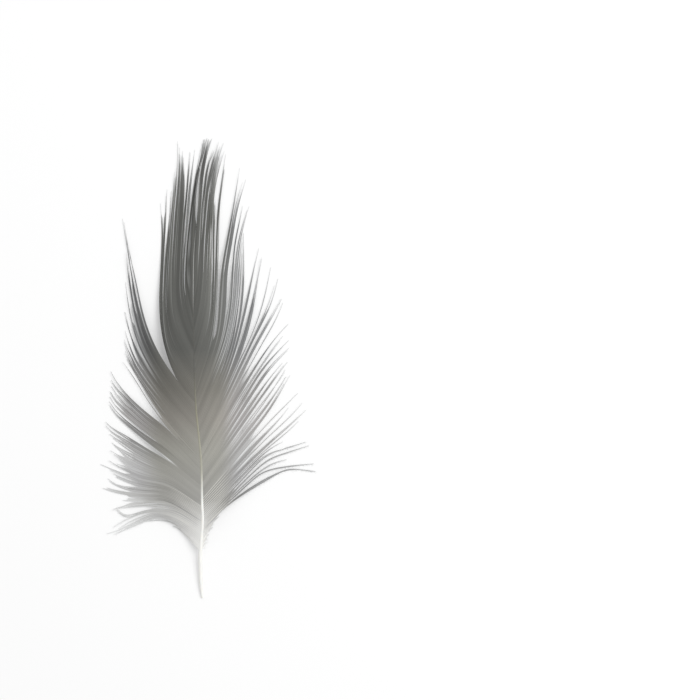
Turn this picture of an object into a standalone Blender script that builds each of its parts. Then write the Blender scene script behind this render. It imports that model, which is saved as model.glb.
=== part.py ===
"""A heron's body feather, lying on a flat surface with its convex side up.

The feather is a shaft and twelve locks of barbs. Each lock is one thin, curved sheet that runs from the
side of the shaft to the tips of its barbs. The locks are parted where the real vane is parted.

Frame: the quill points to -Y, the tip of the feather to +Y, and +Z is up. The origin is on the surface that
the feather lies on, under the middle of the feather's outline. Sizes in the tables are millimetres, and
Blender's metres are reached through MM.
"""

import math

import bmesh
import bpy

MM = 0.001

# Driving dimensions, in millimetres
HALF_LENGTH = 46.0
SHAFT_END = 28.8
END_HEIGHT = 0.20
ARCH_RISE = 3.2
GAP = 0.30
LOCK_THICKNESS = 0.35
RESTING_PART = 0.10

# Mesh resolution
SHAFT_STEPS = 44
SHAFT_RESOLUTION = 3
LOCK_ROWS = 16
COLUMNS_BETWEEN_GUIDES = 3

LEFT = -1
RIGHT = 1

# The shaft from the quill's tip to its end: distance along the feather, sideways place, radius
SHAFT_STATIONS = [
    (-46.0, -1.5, 0.20),
    (-43.5, -1.7, 0.40),
    (-40.0, -1.8, 0.45),
    (-35.0, -1.75, 0.45),
    (-30.5, -1.45, 0.42),
    (-19.0, -1.5, 0.36),
    (-11.0, -2.1, 0.32),
    (-4.0, -2.7, 0.28),
    (4.0, -2.95, 0.25),
    (12.0, -3.15, 0.22),
    (20.0, -3.2, 0.19),
    (25.0, -2.9, 0.16),
    (SHAFT_END, -2.5, 0.14),
]

# Each lock has the side it grows on, its colour and its guide barbs. A guide barb is the place along the
# shaft where it grows, then the points (x, y) that it passes through, the last of them its tip.
LOCKS = {
    "tuft_left": (LEFT, (0.13, 0.13, 0.12), [
        (-5.4, [(-6.6, -1.3), (-8.6, 3.8), (-9.9, 9.8), (-10.2, 16.0), (-9.8, 23.0),
                (-9.6, 28.0), (-9.9, 33.2)]),
        (-1.0, [(-6.0, 5.0), (-7.9, 13.0), (-8.4, 21.0), (-8.2, 29.0), (-7.5, 35.0),
                (-6.8, 39.0), (-6.6, 45.8)]),
        (5.0, [(-5.0, 12.0), (-5.9, 20.0), (-5.8, 28.0), (-5.2, 35.0), (-4.8, 39.0), (-5.0, 43.6)]),
        (12.0, [(-4.6, 19.0), (-4.8, 28.0), (-4.1, 36.0), (-3.3, 44.3)]),
        (26.5, [(-2.9, 31.0), (-2.5, 34.2), (-1.9, 38.0), (-1.4, 41.5), (-1.1, 46.0)]),
    ]),
    "tuft_right": (RIGHT, (0.13, 0.13, 0.12), [
        (26.5, [(-2.2, 31.0), (-1.9, 34.4), (-1.3, 38.0), (-0.6, 41.7), (0.1, 46.0)]),
        (12.0, [(-1.5, 20.0), (-1.0, 28.0), (-0.4, 35.0), (0.5, 40.0), (1.9, 45.6)]),
        (6.0, [(-0.3, 15.0), (0.4, 25.0), (0.8, 33.0), (1.3, 38.5), (2.1, 42.5), (3.0, 45.9)]),
        (-2.2, [(-0.1, 2.8), (0.9, 8.0), (1.5, 14.5), (1.6, 22.0), (1.8, 30.0),
                (2.4, 37.0), (3.2, 43.2)]),
    ]),
    "left_spire": (LEFT, (0.15, 0.15, 0.145), [
        (-6.4, [(-6.9, -1.9), (-9.0, 1.2), (-11.1, 5.2), (-12.6, 10.0), (-13.9, 14.8),
                (-15.0, 19.8), (-17.5, 30.4)]),
        (-9.6, [(-6.0, -5.8), (-9.6, -1.2), (-12.6, 3.4), (-14.8, 8.0), (-16.2, 12.8), (-16.9, 17.2)]),
        (-13.2, [(-6.6, -9.4), (-10.4, -5.0), (-13.6, -0.6), (-15.7, 2.6), (-17.2, 5.6)]),
        (-16.0, [(-7.6, -12.2), (-10.6, -8.2), (-13.6, -3.7), (-15.2, -1.3), (-17.8, 2.0)]),
    ]),
    "left_upper": (LEFT, (0.21, 0.21, 0.20), [
        (-16.5, [(-7.9, -12.6), (-11.0, -9.8), (-14.0, -7.6), (-17.0, -4.8), (-19.0, -2.4),
                (-20.0, 0.0)]),
        (-19.4, [(-7.4, -15.8), (-11.5, -12.3), (-15.2, -9.2), (-18.2, -6.6), (-20.0, -4.2)]),
        (-21.7, [(-6.8, -18.5), (-9.0, -16.8), (-12.0, -14.7), (-15.0, -12.7), (-17.6, -10.4),
                (-20.1, -7.2)]),
    ]),
    "left_middle": (LEFT, (0.25, 0.25, 0.24), [
        (-22.2, [(-7.0, -19.0), (-11.0, -17.0), (-14.0, -15.3), (-17.0, -13.5), (-19.2, -12.1),
                (-21.2, -10.0)]),
        (-24.3, [(-6.8, -21.4), (-10.0, -20.0), (-13.0, -18.7), (-17.0, -16.8), (-20.0, -14.4)]),
        (-26.0, [(-6.6, -23.7), (-10.4, -22.4), (-14.0, -21.1), (-17.0, -19.8), (-20.0, -17.8)]),
    ]),
    "left_lower": (LEFT, (0.36, 0.36, 0.35), [
        (-26.4, [(-6.8, -24.1), (-11.8, -22.6), (-16.2, -21.3), (-19.6, -20.1), (-22.0, -19.0)]),
        (-28.0, [(-6.8, -26.0), (-12.0, -24.6), (-17.0, -23.1), (-20.6, -22.0)]),
        (-29.2, [(-6.6, -27.4), (-11.0, -26.3), (-14.0, -25.5), (-18.0, -24.6), (-21.6, -23.8)]),
    ]),
    "left_down": (LEFT, (0.55, 0.55, 0.54), [
        (-29.7, [(-5.6, -28.2), (-9.0, -27.5), (-12.0, -27.3), (-15.6, -27.3), (-19.6, -28.0)]),
        (-32.0, [(-5.2, -30.1), (-8.8, -28.9), (-12.0, -28.7), (-15.6, -29.4), (-20.4, -30.6)]),
        (-34.4, [(-4.2, -32.9), (-6.6, -31.4), (-9.4, -30.4), (-12.4, -30.3), (-15.6, -31.3),
                (-21.4, -33.0)]),
    ]),
    "right_inner": (RIGHT, (0.15, 0.15, 0.145), [
        (-3.1, [(0.5, 2.4), (1.5, 8.0), (2.0, 13.0), (2.1, 18.0), (2.9, 23.8), (4.8, 33.8), (5.9, 39.8)]),
        (-5.0, [(1.4, 2.0), (2.6, 8.5), (3.2, 16.0), (3.9, 21.5), (4.6, 26.0), (5.7, 32.0), (6.8, 37.0)]),
        (-8.0, [(1.8, -2.6), (3.4, 2.8), (4.5, 9.0), (5.1, 14.0), (5.4, 20.0), (5.8, 25.0), (7.8, 33.2)]),
    ]),
    "right_upper_fan": (RIGHT, (0.24, 0.24, 0.235), [
        (-8.8, [(2.1, -3.1), (3.9, 2.7), (5.0, 8.5), (5.7, 14.0), (6.1, 20.0), (6.7, 26.8)]),
        (-11.2, [(1.9, -5.8), (4.9, -0.6), (6.2, 5.2), (7.1, 10.8), (8.0, 15.5),
                (8.8, 20.2), (9.8, 24.8)]),
        (-12.8, [(2.0, -7.2), (5.2, -2.2), (7.4, 2.4), (9.1, 6.4), (10.8, 10.2),
                (12.4, 14.2), (13.6, 19.0)]),
        (-14.1, [(2.0, -8.8), (5.4, -3.9), (7.7, 0.2), (9.8, 3.9), (12.0, 7.5),
                (13.8, 11.0), (15.0, 14.6)]),
    ]),
    "right_middle_fan": (RIGHT, (0.25, 0.25, 0.245), [
        (-14.9, [(2.2, -9.6), (5.4, -5.4), (8.0, -1.4), (10.2, 2.1), (12.6, 5.4), (15.8, 9.2)]),
        (-17.8, [(2.2, -12.2), (5.4, -8.2), (8.6, -4.4), (11.0, -1.0), (13.4, 1.8), (16.0, 4.2)]),
        (-21.4, [(2.2, -16.6), (5.6, -12.6), (8.4, -8.8), (10.8, -5.2), (13.2, -2.2), (15.4, 0.8)]),
        (-25.2, [(2.0, -20.6), (5.8, -16.8), (9.2, -12.8), (11.4, -9.2), (13.6, -5.2), (15.8, -1.4)]),
    ]),
    "right_lower_fan": (RIGHT, (0.30, 0.30, 0.29), [
        (-26.1, [(2.3, -21.4), (6.0, -17.6), (9.2, -14.0), (12.0, -10.6), (14.6, -7.6), (17.4, -4.8)]),
        (-27.8, [(2.4, -23.2), (6.4, -19.4), (10.0, -15.9), (13.2, -12.5), (16.2, -10.1), (19.6, -7.8)]),
        (-29.4, [(1.6, -25.8), (4.0, -23.4), (6.4, -20.9), (9.6, -17.6), (12.6, -15.1),
                (15.4, -12.9), (18.4, -10.4)]),
    ]),
    "right_down": (RIGHT, (0.50, 0.50, 0.49), [
        (-30.3, [(1.4, -26.9), (4.2, -24.2), (6.8, -21.6), (9.8, -18.9), (13.0, -17.0),
                (16.6, -15.7), (20.2, -14.5)]),
        (-31.8, [(1.6, -28.4), (4.4, -25.8), (7.2, -23.4), (10.4, -21.0), (14.0, -19.6),
                (18.0, -19.2), (21.8, -18.8)]),
        (-33.4, [(1.0, -29.8), (4.6, -26.6), (8.4, -24.0), (12.0, -22.1), (16.0, -21.1), (21.6, -20.9)]),
    ]),
}

SHAFT_COLOUR = (0.72, 0.70, 0.62)
SHAFT_ROUGHNESS = 0.35
BARB_ROUGHNESS = 0.85


def spline_point(before, start, end, after, t):
    """A point on the smooth curve (Catmull-Rom) that passes through start at t = 0 and end at t = 1."""
    return tuple(
        0.5 * (2 * b + (c - a) * t + (2 * a - 5 * b + 4 * c - d) * t**2 + (3 * b - a - 3 * c + d) * t**3)
        for a, b, c, d in zip(before, start, end, after)
    )


def smooth_through(points, steps_each=12):
    """Points close together on a smooth curve through the given points."""
    ends = [points[0], *points, points[-1]]
    curve = []
    for i in range(len(points) - 1):
        for step in range(steps_each):
            curve.append(spline_point(*ends[i:i + 4], step / steps_each))
    return [*curve, points[-1]]


def evenly_spaced(curve, count):
    """The curve as count + 1 points that are equal distances apart."""
    run = [0.0]
    for a, b in zip(curve, curve[1:]):
        run.append(run[-1] + math.dist(a, b))
    spaced = []
    i = 0
    for step in range(count + 1):
        want = run[-1] * step / count
        while i < len(curve) - 2 and run[i + 1] < want:
            i += 1
        part = (want - run[i]) / (run[i + 1] - run[i])
        spaced.append(blend(curve[i], curve[i + 1], part))
    return spaced


def blend(a, b, part):
    return tuple(p + (q - p) * part for p, q in zip(a, b))


def shaft_at(y):
    """The shaft's sideways place and radius at a distance along the feather."""
    for low, high in zip(SHAFT_CURVE, SHAFT_CURVE[1:]):
        if y <= high[0]:
            break
    along = (y - low[0]) / (high[0] - low[0])
    return blend(low, high, along)[1:]


def arch_height(y):
    """Height of the shaft's centre: the shaft is arched, and its two ends come down to the surface."""
    return END_HEIGHT + ARCH_RISE * (1 - (y / HALF_LENGTH) ** 2)


def barb_height(root_height, along):
    """Height of a barb's underside: it leaves the shaft level and comes down to lie on the surface."""
    way_down = min(1.0, along / (1 - RESTING_PART))
    return root_height * (1 + math.cos(math.pi * way_down)) / 2


def beside_shaft(side, root_y):
    """The place just clear of the shaft's side where a barb starts."""
    shaft_x, radius = shaft_at(root_y)
    return (shaft_x + side * (radius + GAP), root_y)


def barb_between(side, near, far, part):
    """Points on a barb's underside, part of the way from one guide barb to the next."""
    root_y = near[0] + (far[0] - near[0]) * part
    path = [blend(a, b, part) for a, b in zip(near[1], far[1])]
    start = beside_shaft(side, root_y)
    shift = (start[0] - path[0][0], start[1] - path[0][1])
    root_height = arch_height(root_y) - LOCK_THICKNESS / 2
    barb = []
    for row, (x, y) in enumerate(path):
        along = row / LOCK_ROWS
        fade = (1 - along) ** 2
        barb.append((x + shift[0] * fade, y + shift[1] * fade, barb_height(root_height, along)))
    return barb


def lock_columns(side, guides):
    """The barbs that carry a lock's sheet, from its first guide barb to its last."""
    paths = [
        (root_y, evenly_spaced(smooth_through([beside_shaft(side, root_y), *points]), LOCK_ROWS))
        for root_y, points in guides
    ]
    columns = []
    for near, far in zip(paths, paths[1:]):
        for step in range(COLUMNS_BETWEEN_GUIDES):
            columns.append(barb_between(side, near, far, step / COLUMNS_BETWEEN_GUIDES))
    columns.append(barb_between(side, paths[-1], paths[-1], 0))
    return columns


def material(name, colour, roughness):
    """A plain material of one colour."""
    made = bpy.data.materials.new(name)
    made.use_nodes = True
    shader = made.node_tree.nodes["Principled BSDF"]
    shader.inputs["Base Color"].default_value = (*colour, 1)
    shader.inputs["Roughness"].default_value = roughness
    shader.inputs["Metallic"].default_value = 0
    return made


def place(name, data, look, parent):
    """Adds an object with its material and parent to the scene."""
    made = bpy.data.objects.new(name, data)
    data.materials.append(look)
    bpy.context.collection.objects.link(made)
    made.parent = parent
    return made


def make_shaft(parent):
    """The quill and shaft: a round bar, swept along the arch and tapering to the tip of the feather."""
    curve = bpy.data.curves.new("shaft", "CURVE")
    curve.dimensions = "3D"
    curve.bevel_depth = MM
    curve.bevel_resolution = SHAFT_RESOLUTION
    curve.use_fill_caps = True
    stations = evenly_spaced(SHAFT_CURVE, SHAFT_STEPS)
    spline = curve.splines.new("POLY")
    spline.points.add(len(stations) - 1)
    for point, (y, x, radius) in zip(spline.points, stations):
        point.co = (x * MM, y * MM, arch_height(y) * MM, 1)
        point.radius = radius
    spline.use_smooth = True
    return place("shaft", curve, material("shaft horn", SHAFT_COLOUR, SHAFT_ROUGHNESS), parent)


def make_lock(name, side, colour, guides, parent):
    """One lock of barbs: a sheet stretched over its guide barbs, thickened upwards."""
    columns = lock_columns(side, guides)
    sheet = bmesh.new()
    grid = [[sheet.verts.new([c * MM for c in point]) for point in column] for column in columns]
    for near, far in zip(grid, grid[1:]):
        for a, b, c, d in zip(near, near[1:], far[1:], far):
            sheet.faces.new((a, b, c, d))
    bmesh.ops.triangulate(sheet, faces=sheet.faces[:])
    sheet.normal_update()
    if sum(face.normal.z for face in sheet.faces) < 0:
        bmesh.ops.reverse_faces(sheet, faces=sheet.faces[:])
    mesh = bpy.data.meshes.new(name)
    sheet.to_mesh(mesh)
    sheet.free()

    lock = place(name, mesh, material(name + " barbs", colour, BARB_ROUGHNESS), parent)
    thickness = lock.modifiers.new("thickness", "SOLIDIFY")
    thickness.thickness = LOCK_THICKNESS * MM
    thickness.offset = 1
    return lock


def main():
    for old in list(bpy.data.objects):
        bpy.data.objects.remove(old)
    feather = bpy.data.objects.new("feather", None)
    bpy.context.collection.objects.link(feather)
    make_shaft(feather)
    for name, (side, colour, guides) in LOCKS.items():
        make_lock(name, side, colour, guides, feather)


SHAFT_CURVE = smooth_through(SHAFT_STATIONS)

main()
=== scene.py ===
"""A heron's body feather, lying on a pale floor with its convex side up, seen from above.

The feather is a shaft and twelve locks of barbs. A barb is a fine ridge with a thin web on each side, and
barbules are the hairs that stand along it. One barb and two kinds of barbule are modelled. They are then
copied, and each copy is bent along its own line. The copies of one lock are joined in one piece.

Frame: the quill points to -Y, the tip of the feather to +Y, +Z is up, and the floor is at Z = 0. The tables
and the layout are in millimetres, and Blender's metres are reached through MM.
"""

import math

import bpy
import numpy as np
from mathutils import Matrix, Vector


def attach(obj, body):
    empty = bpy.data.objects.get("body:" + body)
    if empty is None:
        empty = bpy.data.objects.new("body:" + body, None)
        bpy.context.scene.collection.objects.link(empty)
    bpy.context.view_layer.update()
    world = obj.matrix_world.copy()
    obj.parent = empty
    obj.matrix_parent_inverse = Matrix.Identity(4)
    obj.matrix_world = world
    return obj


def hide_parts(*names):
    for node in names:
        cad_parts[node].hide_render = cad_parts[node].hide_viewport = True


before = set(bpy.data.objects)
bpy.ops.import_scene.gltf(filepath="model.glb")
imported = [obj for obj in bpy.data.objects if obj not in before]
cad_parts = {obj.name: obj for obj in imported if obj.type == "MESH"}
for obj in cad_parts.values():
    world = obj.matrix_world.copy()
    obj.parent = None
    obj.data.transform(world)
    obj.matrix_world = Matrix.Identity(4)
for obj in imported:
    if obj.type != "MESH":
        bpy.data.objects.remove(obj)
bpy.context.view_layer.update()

bl_info = {
    "name": "Heron Feather",
    "version": (1, 0, 0),
    "blender": (4, 5, 0),
    "location": "View3D > Sidebar > Feather",
    "description": "Models a heron's body feather barb by barb, with its stage",
    "category": "Object",
}

MM = 0.001

# The arch of the shaft and of the barbs, in millimetres
HALF_LENGTH = 46.0
END_HEIGHT = 0.20
ARCH_RISE = 3.2
LYING_HEIGHT = 0.09
LOWEST_BARBULE = 0.012

# Mesh resolution
STEPS_EACH = 12
BARB_ROWS = 40
SHAFT_SIDES = 20
SHAFT_ROWS = 90
SECTION_POINTS = 8
DOWN_RINGS = 3
FIRM_RINGS = 1

# The angles above which edges stay sharp
BARB_EDGE_ANGLE = math.radians(35)
SHAFT_EDGE_ANGLE = math.radians(60)

# The sides of the feather, as signs of X
LEFT = -1
RIGHT = 1

# Seeds of the random draws, to which the side is added
LAYOUT_SEED = 11
BARBULE_SEED = 50

# The shaft from the quill's tip to its end: distance along the feather, sideways place, radius
SHAFT_STATIONS = [
    (-46.0, -1.5, 0.18),
    (-43.5, -1.7, 0.36),
    (-40.0, -1.8, 0.41),
    (-36.0, -1.8, 0.41),
    (-30.5, -1.3, 0.34),
    (-26.0, -1.4, 0.32),
    (-19.0, -1.5, 0.29),
    (-14.0, -1.9, 0.27),
    (-8.0, -2.5, 0.23),
    (-2.0, -2.8, 0.18),
    (4.0, -2.95, 0.12),
    (12.0, -3.1, 0.12),
    (19.0, -3.1, 0.12),
    (24.0, -2.95, 0.10),
    (28.8, -2.5, 0.06),
]

# The rim and the depth of the opening at the quill's tip, and how near the tip its edge lies
QUILL_RIM = 0.07
QUILL_DEPTH = 0.6
AT_QUILL_TIP = 0.05

# The groove under the shaft: where it runs, and in shares of the radius how low and how near the middle
GROOVE_RUN = (-30, 10)
GROOVE_LOW = 0.75
GROOVE_HALF_WIDTH = 0.35

# How barbs part in strands, with a value for each kind of lock. Shares are of a barb's length, and
# distances are in millimetres.
KINDS = ("tuft", "spire", "sweep", "fan", "down")
PARTING_TABLE = {
    # A factor on the number of barbs
    "density": (1.0, 1.0, 1.8, 1.15, 1.3),
    # The distance between barbs at which their web parts, and the share of it at which the web narrows
    "web_limit": (1.1, 1.1, 1.6, 1.2, 1.5),
    "web_hold": (0.7, 0.7, 0.45, 0.7, 0.4),
    # The width of a new gap, the share over which it is reached, and how soon the gap then widens: at once
    # below 1, late above 1
    "slit": (0.14, 0.15, 0.12, 0.18, 0.15),
    "slit_run": (0.10, 0.20, 0.25, 0.30, 0.20),
    "power": (1.7, 1.3, 1.2, 0.9, 0.9),
    # The share over which the webs beside a gap come unhooked
    "opening": (0.04, 0.06, 0.22, 0.14, 0.12),
    # How much shorter some barbs of a strand are, and how far their tips stray
    "ragged": (0.14, 0.12, 0.14, 0.12, 0.25),
    "drift": (0.12, 0.07, 0.07, 0.05, 0.20),
    # The share of barbs that part within a strand, and the share at which a barb's web ends
    "split": (0.25, 0.20, 0.15, 0.15, 0.30),
    "fray": (0.90, 0.85, 0.88, 0.85, 0.70),
    # How pale the web turns along a barb, and the two shares between which it does
    "paling": (0.30, 0.45, 0.50, 0.32, 0.70),
    "pale_run": ((0.70, 1.0), (0.45, 0.95), (0.40, 0.95), (0.30, 0.85), (0.20, 0.80)),
    # How pale it turns towards a gap, how far before the gap that starts, and the share before which it
    # doesn't. This paling is painted light: a pale line on the web that stands for the light that comes
    # through the slit
    "edge_paling": (0.48, 0.6, 0.6, 0.8, 0.6),
    "edge_run": (0.60, 0.25, 0.25, 0.28, 0.25),
    "edge_from": (0.15, 0.35, 0.40, 0.24, 0.30),
    # How pale it turns beside the next lock: painted light, which stands for the lit floor seen between
    # locks
    "border_paling": (0.05, 0.6, 0.8, 0.5, 0.5),
    # Factors on the width of free webs, on how much single barbs differ and on the length of barbules
    "free_web": (1.2, 1.2, 2.6, 1.2, 2.6),
    "variation": (2.2, 1.5, 1.5, 1.5, 1.5),
    "barbules": (0.45, 0.60, 1.30, 0.70, 1.40),
    # How many times a strand's line is evened out
    "evening": (4, 8, 12, 24, 8),
}
PARTINGS = {
    kind: {key: values[i] for key, values in PARTING_TABLE.items()}
    for i, kind in enumerate(KINDS)
}
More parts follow.
